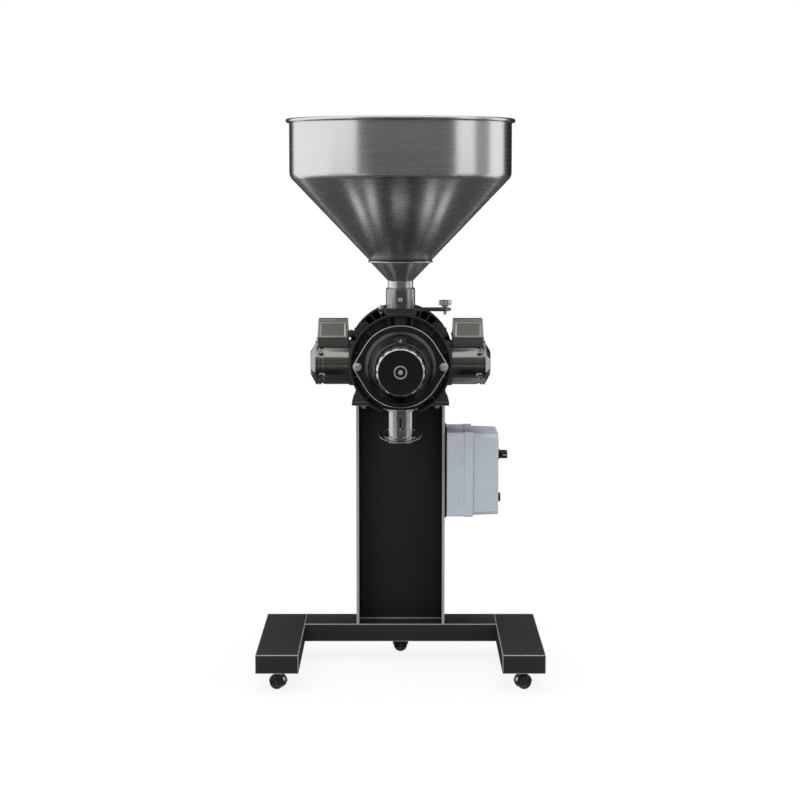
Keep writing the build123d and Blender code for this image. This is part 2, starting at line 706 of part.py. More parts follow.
def bell_ring():
    """Wide ring round the chamber on a web with radial ribs and two corner lugs, open over the spout."""
    inner = BELL_RADIUS - BELL_WALL
    back = BELL_FRONT + BELL_DEPTH
    web_front = BELL_WEB_BACK - BELL_WEB_THICKNESS
    ring = turned_y([
        (inner + BELL_CHAMFER, BELL_FRONT),
        (BELL_RADIUS - 1.0, BELL_FRONT),
        (BELL_RADIUS, BELL_FRONT + 1.0),
        (BELL_RADIUS, back),
        (inner + 2.0, BELL_WEB_BACK),
        (CHAMBER_RADIUS, BELL_WEB_BACK),
        (CHAMBER_RADIUS, web_front),
        (inner - 4.0, web_front),
        (inner, back),
        (inner, BELL_FRONT + BELL_CHAMFER),
    ])
    rib = block(-BELL_RIB_THICKNESS / 2, BELL_RIB_THICKNESS / 2, BELL_FRONT + BELL_RIB_INSET, web_front + 1.0,
                axis_z + CHAMBER_RADIUS - 2.0, axis_z + inner - 1.0)
    ring = ring + around_y(rib, BELL_RIB_COUNT, 180.0 / BELL_RIB_COUNT) + corner_lug(-1) + corner_lug(1)
    gap = block(-BELL_GAP_HALF, BELL_GAP_HALF, BELL_FRONT - 1.0, BELL_WEB_BACK + 1.0,
                axis_z - BELL_RADIUS - 1.0, axis_z - CHAMBER_RADIUS + BELL_GAP_REACH)
    save(ring - gap - chamber_body() - gear_body() - neck_body(), "bell_ring")


def corner_lug(side):
    """Stepped lug behind the bell ring with a bolt head, at one upper corner."""
    front = BELL_WEB_BACK - 2.0
    back = front + LUG_DEPTH
    half = LUG_SIZE / 2
    x = side * LUG_OFFSET
    z = axis_z + LUG_OFFSET
    pad = block(x - half, x + half, front, back, z - half, z + half)
    step_x = side * LUG_STEP_X
    step_z = axis_z + LUG_STEP_Z
    step = block(step_x - half, step_x + half, front, back, step_z - half, step_z + half)
    root = block(x / 2, x, front, back, axis_z + LUG_OFFSET / 2, z)
    root = root & rod_y(BELL_RADIUS - BELL_WALL, front, back)
    return pad + step + root + rod_y(LUG_BOLT_RADIUS, front - LUG_BOLT_RADIUS, front, x, z)


def outlet_chute():
    """Short square chute from the chamber's outlet down to the spout's flange."""
    outlet_half = OUTLET_HALF_WIDTH + OUTLET_WALL
    chute = block(-outlet_half, outlet_half, CHAMBER_FRONT, OUTLET_BACK + OUTLET_WALL,
                  outlet_bottom, axis_z - CHAMBER_BORE)
    save(chute - chamber_body() - gear_body() - outlet_hole(), "outlet_chute")


def housing_foot():
    """Foot flange on the column's plate with two cross ribs up to the gear housing."""
    flange = block(-foot_half, foot_half, crossbar_front, BASE_BACK, plate_top, plate_top + FOOT_FLANGE)
    shoulder_x = BARREL_RADIUS - FOOT_SHOULDER_INSET
    rib = make_face(Polyline(
        (-foot_half, -SHAFT_HEIGHT),
        (foot_half, -SHAFT_HEIGHT),
        (foot_top_half, FOOT_HEIGHT - SHAFT_HEIGHT),
        (shoulder_x, -FOOT_SHOULDER_DROP),
        (-shoulder_x, -FOOT_SHOULDER_DROP),
        (-foot_top_half, FOOT_HEIGHT - SHAFT_HEIGHT),
        close=True))
    solid = flange + outline_y(rib, crossbar_front, crossbar_front + FOOT_RIB)
    solid = solid + outline_y(rib, BASE_BACK - FOOT_RIB, BASE_BACK)
    for x, y in foot_bolt_places():
        solid = solid - rod_z(FOOT_BOLT_RADIUS + SEAT_CLEARANCE, plate_top, plate_top + FOOT_FLANGE, x, y)
    save(solid - gear_body(), "housing_foot")


def barrel_fins():
    """Band on the housing's back and the thin fins that stand on it, which the fan's cover slides over."""
    front = BARREL_BACK - FIN_LENGTH
    band = rod_y(BARREL_RADIUS + FIN_BAND, front, BARREL_BACK) - rod_y(BARREL_RADIUS, front, BARREL_BACK)
    fin = block(-FIN_THICKNESS / 2, FIN_THICKNESS / 2, front, BARREL_BACK,
                axis_z + BARREL_RADIUS + FIN_BAND, axis_z + COWL_RADIUS - COWL_WALL - SEAT_CLEARANCE)
    save(band, "barrel_band")
    save(around_y(fin, FIN_COUNT, 180.0 / FIN_COUNT), "barrel_fins")


def housing():
    """Castings of the head."""
    chamber()
    gear_housing()
    feed_neck()
    bell_ring()
    outlet_chute()
    housing_foot()
    barrel_fins()


def bearings():
    """Ball bearings drawn as plain rings: two on the main shaft and two on each motor's shaft."""
    pieces = []
    for start, width, radius in ((front_bearing_y, FRONT_BEARING_WIDTH, FRONT_BEARING_RADIUS),
                                 (REAR_BEARING_Y, REAR_BEARING_WIDTH, REAR_BEARING_RADIUS)):
        hole = rod_y(SHAFT_RADIUS + RUN_CLEARANCE, start, start + width)
        pieces.append(rod_y(radius, start, start + width) - hole)
    for side in (-1, 1):
        for start in motor_bearing_starts:
            end = start + MOTOR_BEARING_WIDTH
            hole = rod_x(MOTOR_SHAFT_RADIUS + RUN_CLEARANCE, side * start, side * end, MOTOR_Y, axis_z)
            pieces.append(rod_x(MOTOR_BEARING_RADIUS, side * start, side * end, MOTOR_Y, axis_z) - hole)
    save(pieces, "ball_bearings")


def bevel_gear(teeth, mate_teeth, bore, back, hub_radius, hub_end, phase):
    """Straight bevel gear on +Z with its cone's tip at the origin."""
    pitch = GEAR_MODULE * teeth / 2
    reach = GEAR_MODULE * mate_teeth / 2
    cone = math.hypot(pitch, reach)
    sin_a = pitch / cone
    cos_a = reach / cone
    near = (cone - GEAR_FACE) / cone

    def on_tooth(height, scale):
        """Radius and distance of a point at a height above the pitch cone."""
        offset = height * GEAR_MODULE
        return ((pitch + offset * cos_a) * scale, (reach - offset * sin_a) * scale)

    root_far = on_tooth(-DEDENDUM, 1.0)
    root_near = on_tooth(-DEDENDUM, near)
    blank = make_face(Polyline(
        (bore, 0, root_near[1]),
        (root_near[0], 0, root_near[1]),
        (root_far[0], 0, root_far[1]),
        (root_far[0], 0, back),
        (hub_radius, 0, back),
        (hub_radius, 0, hub_end),
        (bore, 0, hub_end),
        close=True))
    gear = revolve(blank, Axis.Z)
    space = math.pi * GEAR_MODULE
    tip_half = space * TOOTH_SHARE * 0.28
    root_half = space * TOOTH_SHARE * 0.82

    def section(scale):
        """Section across the tooth at one end."""
        low = on_tooth(-DEDENDUM - 0.15, scale)
        high = on_tooth(ADDENDUM, scale)
        return make_face(Polyline(
            (low[0], -root_half * scale, low[1]),
            (high[0], -tip_half * scale, high[1]),
            (high[0], tip_half * scale, high[1]),
            (low[0], root_half * scale, low[1]),
            close=True))

    tooth = loft([section(near), section(1.0)], ruled=True)
    step = 360.0 / teeth
    return gear + [Rot(0, 0, phase + i * step) * tooth for i in range(teeth)]


def gears():
    """Crown wheel on the main shaft and one pinion on each motor's shaft."""
    pinion_reach = GEAR_MODULE * CROWN_TEETH / 2
    crown_back = GEAR_MODULE * PINION_TEETH / 2 + CROWN_BACK
    crown = bevel_gear(CROWN_TEETH, PINION_TEETH, SHAFT_RADIUS, crown_back, CROWN_HUB_RADIUS,
                       crown_back + CROWN_HUB_LENGTH, 0.0)
    place = Plane(origin=(0, MOTOR_Y, axis_z), x_dir=(1, 0, 0), z_dir=(0, 1, 0)).location
    save(place * crown, "crown_wheel")
    half_tooth = 180.0 / PINION_TEETH
    for side, name, phase in ((-1, "left", 0.0), (1, "right", half_tooth)):
        pinion = bevel_gear(PINION_TEETH, CROWN_TEETH, MOTOR_SHAFT_RADIUS, pinion_reach + PINION_RIM,
                            MOTOR_SHAFT_RADIUS + PINION_HUB_WALL, pinion_reach + PINION_HUB_LENGTH, phase)
        place = Plane(origin=(0, MOTOR_Y, axis_z), x_dir=(0, 1, 0), z_dir=(side, 0, 0)).location
        save(place * pinion, "motor_pinion_" + name)


def main_shaft():
    """Shaft from the burr carrier back to the fan."""
    save(rod_y(SHAFT_RADIUS, SHAFT_FRONT, SHAFT_BACK), "main_shaft")


def auger():
    """Feed screw under the throat: a sleeve on the shaft with one flight."""
    sleeve = rod_y(AUGER_ROOT, AUGER_FRONT, AUGER_FRONT + AUGER_LENGTH)
    path = Helix(pitch=AUGER_PITCH, height=AUGER_LENGTH - 2 * AUGER_FLIGHT,
                 radius=(AUGER_ROOT + AUGER_RADIUS) / 2)
    section = Plane(origin=path @ 0, x_dir=(1, 0, 0), z_dir=path % 0) * Rectangle(
        AUGER_RADIUS - AUGER_ROOT + 1.0, AUGER_FLIGHT)
    flight = sweep(section, path=path, is_frenet=True) & Cylinder(AUGER_RADIUS, 3 * AUGER_LENGTH)
    flight = Pos(0, AUGER_FRONT + AUGER_FLIGHT, axis_z) * Rot(-90, 0, 0) * flight
    bore = rod_y(SHAFT_RADIUS, AUGER_FRONT, AUGER_FRONT + AUGER_LENGTH)
    save(sleeve + flight - bore, "feed_auger")


def burr_ring(y_face, direction):
    """Flat burr: a ring with leaning grooves and a breaking cone; direction is from its face to its back."""
    y_back = y_face + direction * BURR_THICKNESS
    ring = turned_y([
        (BURR_BORE + BURR_CONE, y_face),
        (BURR_RADIUS, y_face),
        (BURR_RADIUS, y_back),
        (BURR_BORE, y_back),
        (BURR_BORE, y_face + direction * BURR_CONE),
    ])
    groove = block(-BURR_GROOVE_WIDTH / 2, BURR_GROOVE_WIDTH / 2, y_face - direction,
                   y_face + direction * BURR_GROOVE_DEPTH, -BURR_RADIUS * 0.36, BURR_RADIUS * 0.6)
    middle = Pos(0, 0, axis_z + (BURR_BORE + BURR_RADIUS) / 2)
    return ring - around_y(middle * Rot(0, direction * BURR_GROOVE_LEAN, 0) * groove, BURR_GROOVE_COUNT)


def burrs():
    """Rotating burr on its carrier, fixed burr on the plate that the spindle moves."""
    save(burr_ring(BURR_FACE_Y, 1), "rotating_burr")
    save(burr_ring(fixed_face_y, -1), "fixed_burr")
    seat = BURR_FACE_Y + BURR_THICKNESS
    back = seat + CARRIER_THICKNESS
    inner = BURR_RADIUS - CARRIER_RING_WIDTH
    disc = rod_y(BURR_RADIUS, seat, back) - rod_y(inner, seat, back)
    arm = block(-CARRIER_ARM_WIDTH / 2, CARRIER_ARM_WIDTH / 2, seat, back,
                axis_z + CARRIER_HUB_RADIUS - 2.0, axis_z + inner + 1.0)
    disc = disc + around_y(arm, CARRIER_ARM_COUNT) + rod_y(CARRIER_HUB_RADIUS, SHAFT_FRONT, back)
    save(disc - rod_y(SHAFT_RADIUS, SHAFT_FRONT, back), "burr_carrier")

    boss_front = burr_plate_front - BURR_BOSS_LENGTH
    plate = rod_y(BURR_RADIUS, burr_plate_front, burr_plate_back)
    plate = plate + rod_y(BURR_BOSS_RADIUS, boss_front, burr_plate_front)
    plate = plate - rod_y(SPINDLE_SCREW_RADIUS + RUN_CLEARANCE, boss_front, burr_plate_back - 3.0)
    for side in (-1, 1):
        plate = plate - rod_y(GUIDE_PIN_RADIUS + RUN_CLEARANCE, burr_plate_front,
                              burr_plate_front + GUIDE_PIN_ENGAGE + GUIDE_PIN_ROOM, side * GUIDE_PIN_OFFSET)
    save(plate, "fixed_burr_plate")


def front_cover():
    """Front cover: tangent-lug plate, raised ring, hollow cone and a nose that carries the spindle."""
    plate = outline_y(diamond(COVER_RADIUS, COVER_LUG_RADIUS, COVER_BOLT_X), cover_front, CHAMBER_FRONT)
    ring_front = cover_front - COVER_RING_HEIGHT
    shell = turned_y([
        (0.0, CHAMBER_FRONT),
        (COVER_RING_RADIUS, CHAMBER_FRONT),
        (COVER_RING_RADIUS, cover_front - 2.0),
        (COVER_CONE_BASE, ring_front),
        (COVER_CONE_BASE - 1.5, ring_front - 2.0),
        (COVER_CONE_TOP + 3.0, nose_front + 3.0),
        (COVER_CONE_TOP, nose_front),
        (0.0, nose_front),
    ])
    room = turned_y([
        (0.0, CHAMBER_FRONT),
        (COVER_ROOM_RADIUS, CHAMBER_FRONT),
        (COVER_ROOM_RADIUS, cover_front),
        (COVER_CONE_TOP - COVER_WALL, nose_inside),
        (0.0, nose_inside),
    ])
    cover = plate + shell - room - rod_y(SPINDLE_RADIUS + RUN_CLEARANCE, nose_front, nose_inside)
    for side in (-1, 1):
        cover = cover - rod_y(COVER_BOLT_RADIUS + SEAT_CLEARANCE, cover_front, CHAMBER_FRONT,
                              side * COVER_BOLT_X)
    mark = Pos(0, nose_front + 1.5, axis_z + COVER_CONE_TOP) * Rot(0, 45, 0) * Box(4.0, 3.0, 4.0)
    save(cover - mark, "front_cover")


def head_fasteners(pieces):
    """Cover bolts with washers, guide pins of the fixed burr's plate, and the other fasteners given."""
    seat = cover_front - COVER_WASHER
    for side in (-1, 1):
        x = side * COVER_BOLT_X
        head = extrude(RegularPolygon(COVER_HEAD_RADIUS, 6), amount=COVER_HEAD)
        bolt = rod_y(COVER_WASHER_RADIUS, seat, cover_front, x) + Pos(x, seat, axis_z) * Rot(90, 0, 0) * head
        pieces.append(bolt + rod_y(COVER_BOLT_RADIUS, seat, CHAMBER_FRONT + CHAMBER_FLANGE, x))
    for side in (-1, 1):
        pieces.append(rod_y(GUIDE_PIN_RADIUS, nose_inside, burr_plate_front + GUIDE_PIN_ENGAGE,
                            side * GUIDE_PIN_OFFSET))
    save(pieces, "head_fasteners")


def adjuster():
    """Scalloped knob and the spindle that it turns."""
    recess_y = knob_front + KNOB_RECESS_DEPTH
    collar_front = nose_inside + SLIDE_CLEARANCE
    collar_back = collar_front + SPINDLE_COLLAR_WIDTH
    screw_end = burr_plate_front - BURR_BOSS_LENGTH + SPINDLE_SCREW_LENGTH
    spindle = turned_y([
        (0.0, recess_y),
        (SPINDLE_RADIUS, recess_y),
        (SPINDLE_RADIUS, collar_front),
        (SPINDLE_COLLAR, collar_front),
        (SPINDLE_COLLAR, collar_back),
        (SPINDLE_SCREW_RADIUS, collar_back),
        (SPINDLE_SCREW_RADIUS, screw_end),
        (0.0, screw_end),
    ])
    save(spindle, "adjusting_spindle")

    rim = KNOB_RADIUS - KNOB_FLUTE_DEPTH - KNOB_WALL
    face_back = knob_front + KNOB_FACE_WALL
    knob = turned_y([
        (0.0, knob_front),
        (KNOB_FACE_RADIUS - 1.0, knob_front),
        (KNOB_FACE_RADIUS, knob_front + 1.0),
        (KNOB_RADIUS, knob_front + KNOB_SHOULDER),
        (KNOB_RADIUS, knob_back),
        (rim, knob_back),
        (rim, face_back),
        (KNOB_HUB_RADIUS, face_back),
        (KNOB_HUB_RADIUS, knob_back),
        (0.0, knob_back),
    ])
    flute = rod_y(KNOB_FLUTE_RADIUS, knob_front, knob_back, 0,
                  axis_z + KNOB_RADIUS - KNOB_FLUTE_DEPTH + KNOB_FLUTE_RADIUS)
    knob = knob - around_y(flute, KNOB_FLUTE_COUNT)
    knob = knob - rod_y(KNOB_RECESS_RADIUS, knob_front, recess_y) - rod_y(SPINDLE_RADIUS, recess_y, knob_back)
    save([knob, rod_y(KNOB_SCREW_RADIUS, recess_y - 2.0, recess_y)], "adjusting_knob")


def motor(name, side):
    """Side motor: shell with its stator, end cap, rotor on its shaft."""
    flange_end = MOTOR_INNER + MOTOR_FLANGE
    inner = MOTOR_RADIUS - MOTOR_WALL
    stator_end = STATOR_START + STATOR_LENGTH
    shell = turned_x([
        (MOTOR_BEARING_RADIUS, MOTOR_INNER),
        (MOTOR_RADIUS, MOTOR_INNER),
        (MOTOR_RADIUS, MOTOR_SHELL_END),
        (inner, MOTOR_SHELL_END),
        (inner, flange_end),
        (MOTOR_BEARING_RADIUS, flange_end),
    ], side)
    stator = turned_x([
        (STATOR_BORE, STATOR_START),
        (inner, STATOR_START),
        (inner, stator_end),
        (STATOR_BORE, stator_end),
    ], side)
    shells = [shell, stator]

    bearing_end = MOTOR_SHELL_END + MOTOR_BEARING_WIDTH
    groove_start = MOTOR_SHELL_END + MOTOR_GROOVE
    cap = turned_x([
        (MOTOR_BEARING_RADIUS, MOTOR_SHELL_END),
        (MOTOR_BAND_RADIUS, MOTOR_SHELL_END),
        (MOTOR_BAND_RADIUS, groove_start),
        (MOTOR_BAND_RADIUS - MOTOR_GROOVE_DEPTH, groove_start + MOTOR_GROOVE_WIDTH / 4),
        (MOTOR_BAND_RADIUS - MOTOR_GROOVE_DEPTH, groove_start + MOTOR_GROOVE_WIDTH * 3 / 4),
        (MOTOR_BAND_RADIUS, groove_start + MOTOR_GROOVE_WIDTH),
        (MOTOR_BAND_RADIUS, MOTOR_BAND_END),
        (0.0, MOTOR_BAND_END),
        (0.0, bearing_end),
        (MOTOR_BEARING_RADIUS, bearing_end),
    ], side)
    sections = []
    face_radius = MOTOR_END_FACE / math.cos(math.pi / 8)
    for x, radius in ((MOTOR_BAND_END, MOTOR_BAND_RADIUS), (MOTOR_END, face_radius)):
        plane = Plane(origin=(side * x, MOTOR_Y, axis_z), x_dir=(0, 1, 0), z_dir=(side, 0, 0))
        sections.append(plane * Rot(0, 0, 22.5) * RegularPolygon(radius, 8))
    cap = cap + loft(sections, ruled=True)
    shell_core = rod_x(MOTOR_RADIUS, side * MOTOR_INNER, side * MOTOR_SHELL_END, MOTOR_Y, axis_z)
    tie_y = math.sqrt(MOTOR_RADIUS ** 2 - MOTOR_TIE_Z ** 2)
    for dy in (-tie_y, tie_y):
        for dz in (-MOTOR_TIE_Z, MOTOR_TIE_Z):
            tie = rod_x(MOTOR_TIE_RADIUS, side * (MOTOR_SHELL_END - MOTOR_TIE_LENGTH),
                        side * (MOTOR_SHELL_END + 3.0), MOTOR_Y + dy, axis_z + dz)
            cap = cap + (tie - shell_core)

    shaft_start = GEAR_MODULE * CROWN_TEETH / 2 - GEAR_FACE + 1.0
    shaft = rod_x(MOTOR_SHAFT_RADIUS, side * shaft_start, side * (bearing_end - 1.0), MOTOR_Y, axis_z)
    core = rod_x(ROTOR_RADIUS, side * STATOR_START, side * stator_end, MOTOR_Y, axis_z)
    save(shaft + core, "motor_rotor_" + name)
    return shells, cap


def terminal_box(side):
    """Terminal box saddled on the motor's shell, and its drafted lid with a rim and a raised frame."""
    mid_x = side * (TERMINAL_INNER + TERMINAL_OUTER) / 2
    half_x = (TERMINAL_OUTER - TERMINAL_INNER) / 2
    half_y = TERMINAL_DEPTH / 2
    seam = axis_z + TERMINAL_SEAM
    top = axis_z + TERMINAL_TOP
    saddle = block(mid_x - half_x, mid_x + half_x, MOTOR_Y - half_y, MOTOR_Y + half_y,
                   axis_z + MOTOR_RADIUS / 2, seam)
    saddle = saddle + Pos(mid_x, MOTOR_Y, seam - TERMINAL_RIM_HEIGHT / 2) * Box(
        2 * half_x + TERMINAL_RIM, 2 * half_y + TERMINAL_RIM, TERMINAL_RIM_HEIGHT)
    saddle = saddle - rod_x(MOTOR_BAND_RADIUS + SEAT_CLEARANCE, side * (MOTOR_INNER - TERMINAL_RIM),
                            side * MOTOR_BAND_END, MOTOR_Y, axis_z)
    room = block(mid_x - half_x + TERMINAL_WALL, mid_x + half_x - TERMINAL_WALL,
                 MOTOR_Y - half_y + TERMINAL_WALL, MOTOR_Y + half_y - TERMINAL_WALL,
                 axis_z + MOTOR_BAND_RADIUS + TERMINAL_WALL, seam)
    saddle = saddle - room

    lid = extrude(RectangleRounded(2 * half_x, 2 * half_y, TERMINAL_CORNER), amount=top - seam,
                  taper=TERMINAL_DRAFT)
    lid = Pos(mid_x, MOTOR_Y, seam) * lid
    lid = chamfer(lid.faces().sort_by(Axis.Z)[-1].edges(), 1.5)
    lid = lid - block(mid_x - half_x + TERMINAL_LID_WALL, mid_x + half_x - TERMINAL_LID_WALL,
                      MOTOR_Y - half_y + TERMINAL_LID_WALL, MOTOR_Y + half_y - TERMINAL_LID_WALL,
                      seam, top - TERMINAL_LID_WALL)
    recess = block(mid_x - half_x + TERMINAL_FRAME, mid_x + half_x - TERMINAL_FRAME,
                   MOTOR_Y - half_y - 1.0, MOTOR_Y - half_y + TERMINAL_FRAME_DEPTH,
                   seam + TERMINAL_FRAME_BOTTOM, top - TERMINAL_FRAME_TOP)
    return saddle, lid - recess


def motors():
    """Both motors with their terminal boxes; the fixed pieces of the pair share their nodes."""
    shells = []
    caps = []
    boxes = []
    lids = []
    for name, side in (("left", -1), ("right", 1)):
        shell, cap = motor(name, side)
        box, lid = terminal_box(side)
        shells += shell
        caps.append(cap)
        boxes.append(box)
        lids.append(lid)
    save(shells, "motor_shells")
    save(caps, "motor_end_caps")
    save(boxes, "terminal_boxes")
    save(lids, "terminal_lids")


def cable_glands():
    """Cable gland from the left terminal box to the housing's lug, and the right box's blanking plug."""
    z = axis_z + GLAND_Z
    lug_side = LUG_STEP_X + LUG_SIZE / 2
    nut = extrude(RegularPolygon(GLAND_NUT_RADIUS, 6), amount=GLAND_NUT_LENGTH)
    left = rod_x(GLAND_RADIUS, -TERMINAL_INNER, -lug_side, GLAND_Y, z)
    left = left + Pos(-TERMINAL_INNER + 5.0, GLAND_Y, z) * Rot(0, 90, 0) * nut
    right = rod_x(GLAND_STUB_RADIUS, TERMINAL_INNER - GLAND_STUB_LENGTH, TERMINAL_INNER + SEAT_CLEARANCE,
                  GLAND_Y, z)
    save([left, right], "cable_glands")


def gate():
    """Gate block with the slide's channel in its top, the slide bar and its thumb knob."""
    half_x = GATE_WIDTH / 2
    half_y = GATE_DEPTH / 2
    slide_half = SLIDE_WIDTH / 2
    channel_bottom = gate_top - GATE_CHANNEL
    body = block(-half_x, half_x, FEED_Y - half_y, FEED_Y + half_y, neck_top, gate_top)
    body = body - rod_z(GATE_THROAT_RADIUS, neck_top, gate_top, 0, FEED_Y)
    body = body - block(GATE_WALL - half_x, half_x, FEED_Y - slide_half - SLIDE_CLEARANCE,
                        FEED_Y + slide_half + SLIDE_CLEARANCE, channel_bottom, gate_top)
    ear = block(-half_x - CLAMP_EAR_LENGTH, -half_x,
                FEED_Y - CLAMP_EAR_WIDTH / 2, FEED_Y + CLAMP_EAR_WIDTH / 2,
                clamp_ear_bottom, clamp_ear_top)
    ear = ear - rod_z(CLAMP_BOLT_RADIUS + SEAT_CLEARANCE, clamp_ear_bottom, clamp_ear_top, -CLAMP_X, FEED_Y)
    save(body + ear, "gate_block")

    slide_bottom = channel_bottom + SLIDE_CLEARANCE
    slide_top = slide_bottom + SLIDE_THICKNESS
    nose_x = SLIDE_OUTER - slide_half
    bar = block(SLIDE_INNER, nose_x, FEED_Y - slide_half, FEED_Y + slide_half, slide_bottom, slide_top)
    bar = bar + rod_z(slide_half, slide_bottom, slide_top, nose_x, FEED_Y)
    hole = rod_z(THUMB_STUD_RADIUS + RUN_CLEARANCE, slide_bottom, slide_top, SLIDE_KNOB_X, FEED_Y)
    save(bar - hole, "gate_slide")

    shank_bottom = slide_top + SLIDE_CLEARANCE
    head_bottom = gate_top + THUMB_BOTTOM
    head_top = head_bottom + THUMB_HEIGHT
    head = rod_z(THUMB_RADIUS, head_bottom, head_top, SLIDE_KNOB_X, FEED_Y)
    head = chamfer(head.edges().filter_by(GeomType.CIRCLE), 2.0)
    for i in range(THUMB_LOBE_COUNT):
        angle = 2 * math.pi * (i + 0.5) / THUMB_LOBE_COUNT
        reach = THUMB_RADIUS + THUMB_SCALLOP_OFFSET
        head = head - rod_z(THUMB_SCALLOP_RADIUS, head_bottom, head_top,
                            SLIDE_KNOB_X + reach * math.cos(angle), FEED_Y + reach * math.sin(angle))
    shank = rod_z(THUMB_SHANK_RADIUS, shank_bottom, head_bottom, SLIDE_KNOB_X, FEED_Y)
    stud = rod_z(THUMB_STUD_RADIUS, slide_bottom - THUMB_STUD_LENGTH, shank_bottom, SLIDE_KNOB_X, FEED_Y)
    save(head + shank + stud, "gate_thumb_knob")


def feed_tube():
    """Tube over the gate that the hopper's spigot stands in; gives its screw and the gate's clamp bolt."""
    bore = SPIGOT_RADIUS + SEAT_CLEARANCE
    ledge_top = tube_top - SPIGOT_DEPTH
    tube = turned_z([
        (GATE_THROAT_RADIUS, gate_top),
        (FEED_TUBE_RADIUS, gate_top),
        (FEED_TUBE_RADIUS, tube_top - FEED_TUBE_CHAMFER),
        (FEED_TUBE_RADIUS - FEED_TUBE_CHAMFER, tube_top),
        (bore, tube_top),
        (bore, ledge_top),
        (SPIGOT_RADIUS - HOPPER_WALL, ledge_top),
    ], 0, FEED_Y)
    for side in (-1, 1):
        tube = tube - block(side * FEED_NOTCH_X - FEED_NOTCH / 2, side * FEED_NOTCH_X + FEED_NOTCH / 2,
                            FEED_Y - FEED_TUBE_RADIUS, FEED_Y - FEED_TUBE_RADIUS / 2,
                            gate_top + FEED_NOTCH_LOW, gate_top + FEED_NOTCH_HIGH)
    screw_z = gate_top + FEED_SCREW_Z
    screw_y = FEED_Y - FEED_TUBE_RADIUS
    tube = tube - rod_y(FEED_SCREW_SHANK + SEAT_CLEARANCE, screw_y, screw_y + 5.0, 0, screw_z)
    save(tube, "feed_tube")
    head = rod_y(FEED_SCREW_RADIUS, screw_y - FEED_SCREW_HEAD, screw_y + 1.0, 0, screw_z)
    head = head - rod_z(FEED_TUBE_RADIUS, gate_top, tube_top, 0, FEED_Y)
    screw = head + rod_y(FEED_SCREW_SHANK, screw_y - 1.0, screw_y + 4.0, 0, screw_z)
    bolt = rod_z(CLAMP_BOLT_RADIUS, clamp_ear_bottom - 4.0, clamp_ear_top, -CLAMP_X, FEED_Y)
    bolt = bolt + hexagon_z(CLAMP_HEAD_RADIUS, clamp_ear_top, clamp_ear_top + CLAMP_HEAD_HEIGHT,
                            -CLAMP_X, FEED_Y)
    return [screw, bolt]


def hopper():
    """Spigot and small cone that stand in the feed tube, and the big open hopper that laps into them."""
    seam_z = spigot_top + (HOPPER_SEAM_RADIUS - SPIGOT_RADIUS) / CONE_SLOPE
    spigot_bottom = tube_top - SPIGOT_DEPTH + SEAT_CLEARANCE
    adaptor = turned_z([
        (SPIGOT_RADIUS - HOPPER_WALL, spigot_bottom),
        (SPIGOT_RADIUS, spigot_bottom),
        (SPIGOT_RADIUS, spigot_top),
        (HOPPER_SEAM_RADIUS, seam_z),
        (HOPPER_SEAM_RADIUS - wall_run, seam_z),
        (SPIGOT_RADIUS - HOPPER_WALL, spigot_top + inner_rise),
    ], 0, FEED_Y)
    rise = 3 * HOPPER_RING
    inside = turned_z([
        (0.0, seam_z - rise),
        (HOPPER_SEAM_RADIUS - rise * CONE_SLOPE, seam_z - rise),
        (HOPPER_SEAM_RADIUS + rise * CONE_SLOPE, seam_z + rise),
        (0.0, seam_z + rise),
    ], 0, FEED_Y)
    ring = Pos(0, FEED_Y, seam_z) * Torus(HOPPER_SEAM_RADIUS + HOPPER_RING * 0.6, HOPPER_RING)
    save(adaptor + (ring - inside), "hopper_adaptor")

    lap_z = seam_z - HOPPER_LAP
    lap_r = HOPPER_SEAM_RADIUS - wall_run - SEAT_CLEARANCE - HOPPER_LAP * CONE_SLOPE
    shoulder_z = lap_z + (HOPPER_RADIUS - lap_r) / CONE_SLOPE
    side_top = shoulder_z + HOPPER_SIDE_HEIGHT
    shell = turned_z([
        (lap_r - wall_run, lap_z),
        (lap_r, lap_z),
        (HOPPER_RADIUS, shoulder_z),
        (HOPPER_RADIUS, side_top),
        (HOPPER_RADIUS - HOPPER_WALL, side_top),
        (HOPPER_RADIUS - HOPPER_WALL, shoulder_z + inner_rise),
    ], 0, FEED_Y)
    bead = Pos(0, FEED_Y, side_top) * Torus(HOPPER_RADIUS + HOPPER_BEAD - HOPPER_BEAD_LAP, HOPPER_BEAD)
    save(shell + bead, "hopper")


def spout():
    """Spout tube with its flange; gives the guide pin in its wall."""
    flange_bottom = outlet_bottom - SPOUT_FLANGE
    tube_bottom = flange_bottom - SPOUT_TUBE_LENGTH
    bore = SPOUT_TUBE_RADIUS - SPOUT_WALL
    opening = block(-OUTLET_HALF_WIDTH, OUTLET_HALF_WIDTH, OUTLET_FRONT, OUTLET_BACK,
                    flange_bottom, outlet_bottom)
    opening = opening & rod_z(bore, flange_bottom, outlet_bottom, 0, SPOUT_Y)
    tube = rod_z(SPOUT_FLANGE_RADIUS, flange_bottom, outlet_bottom, 0, SPOUT_Y) - opening
    pipe = rod_z(SPOUT_TUBE_RADIUS, tube_bottom, flange_bottom, 0, SPOUT_Y)
    pipe = pipe - rod_z(bore, tube_bottom, flange_bottom, 0, SPOUT_Y)
    pin_z = sleeve_top - SLOT_TOP - SLOT_LENGTH + SLOT_WIDTH / 2
    front = SPOUT_Y - SPOUT_TUBE_RADIUS
    pin = rod_y(PIN_RADIUS, front - PIN_REACH, front + SPOUT_WALL + 0.5, 0, pin_z)
    save(tube + pipe - pin, "spout_tube")
    return pin


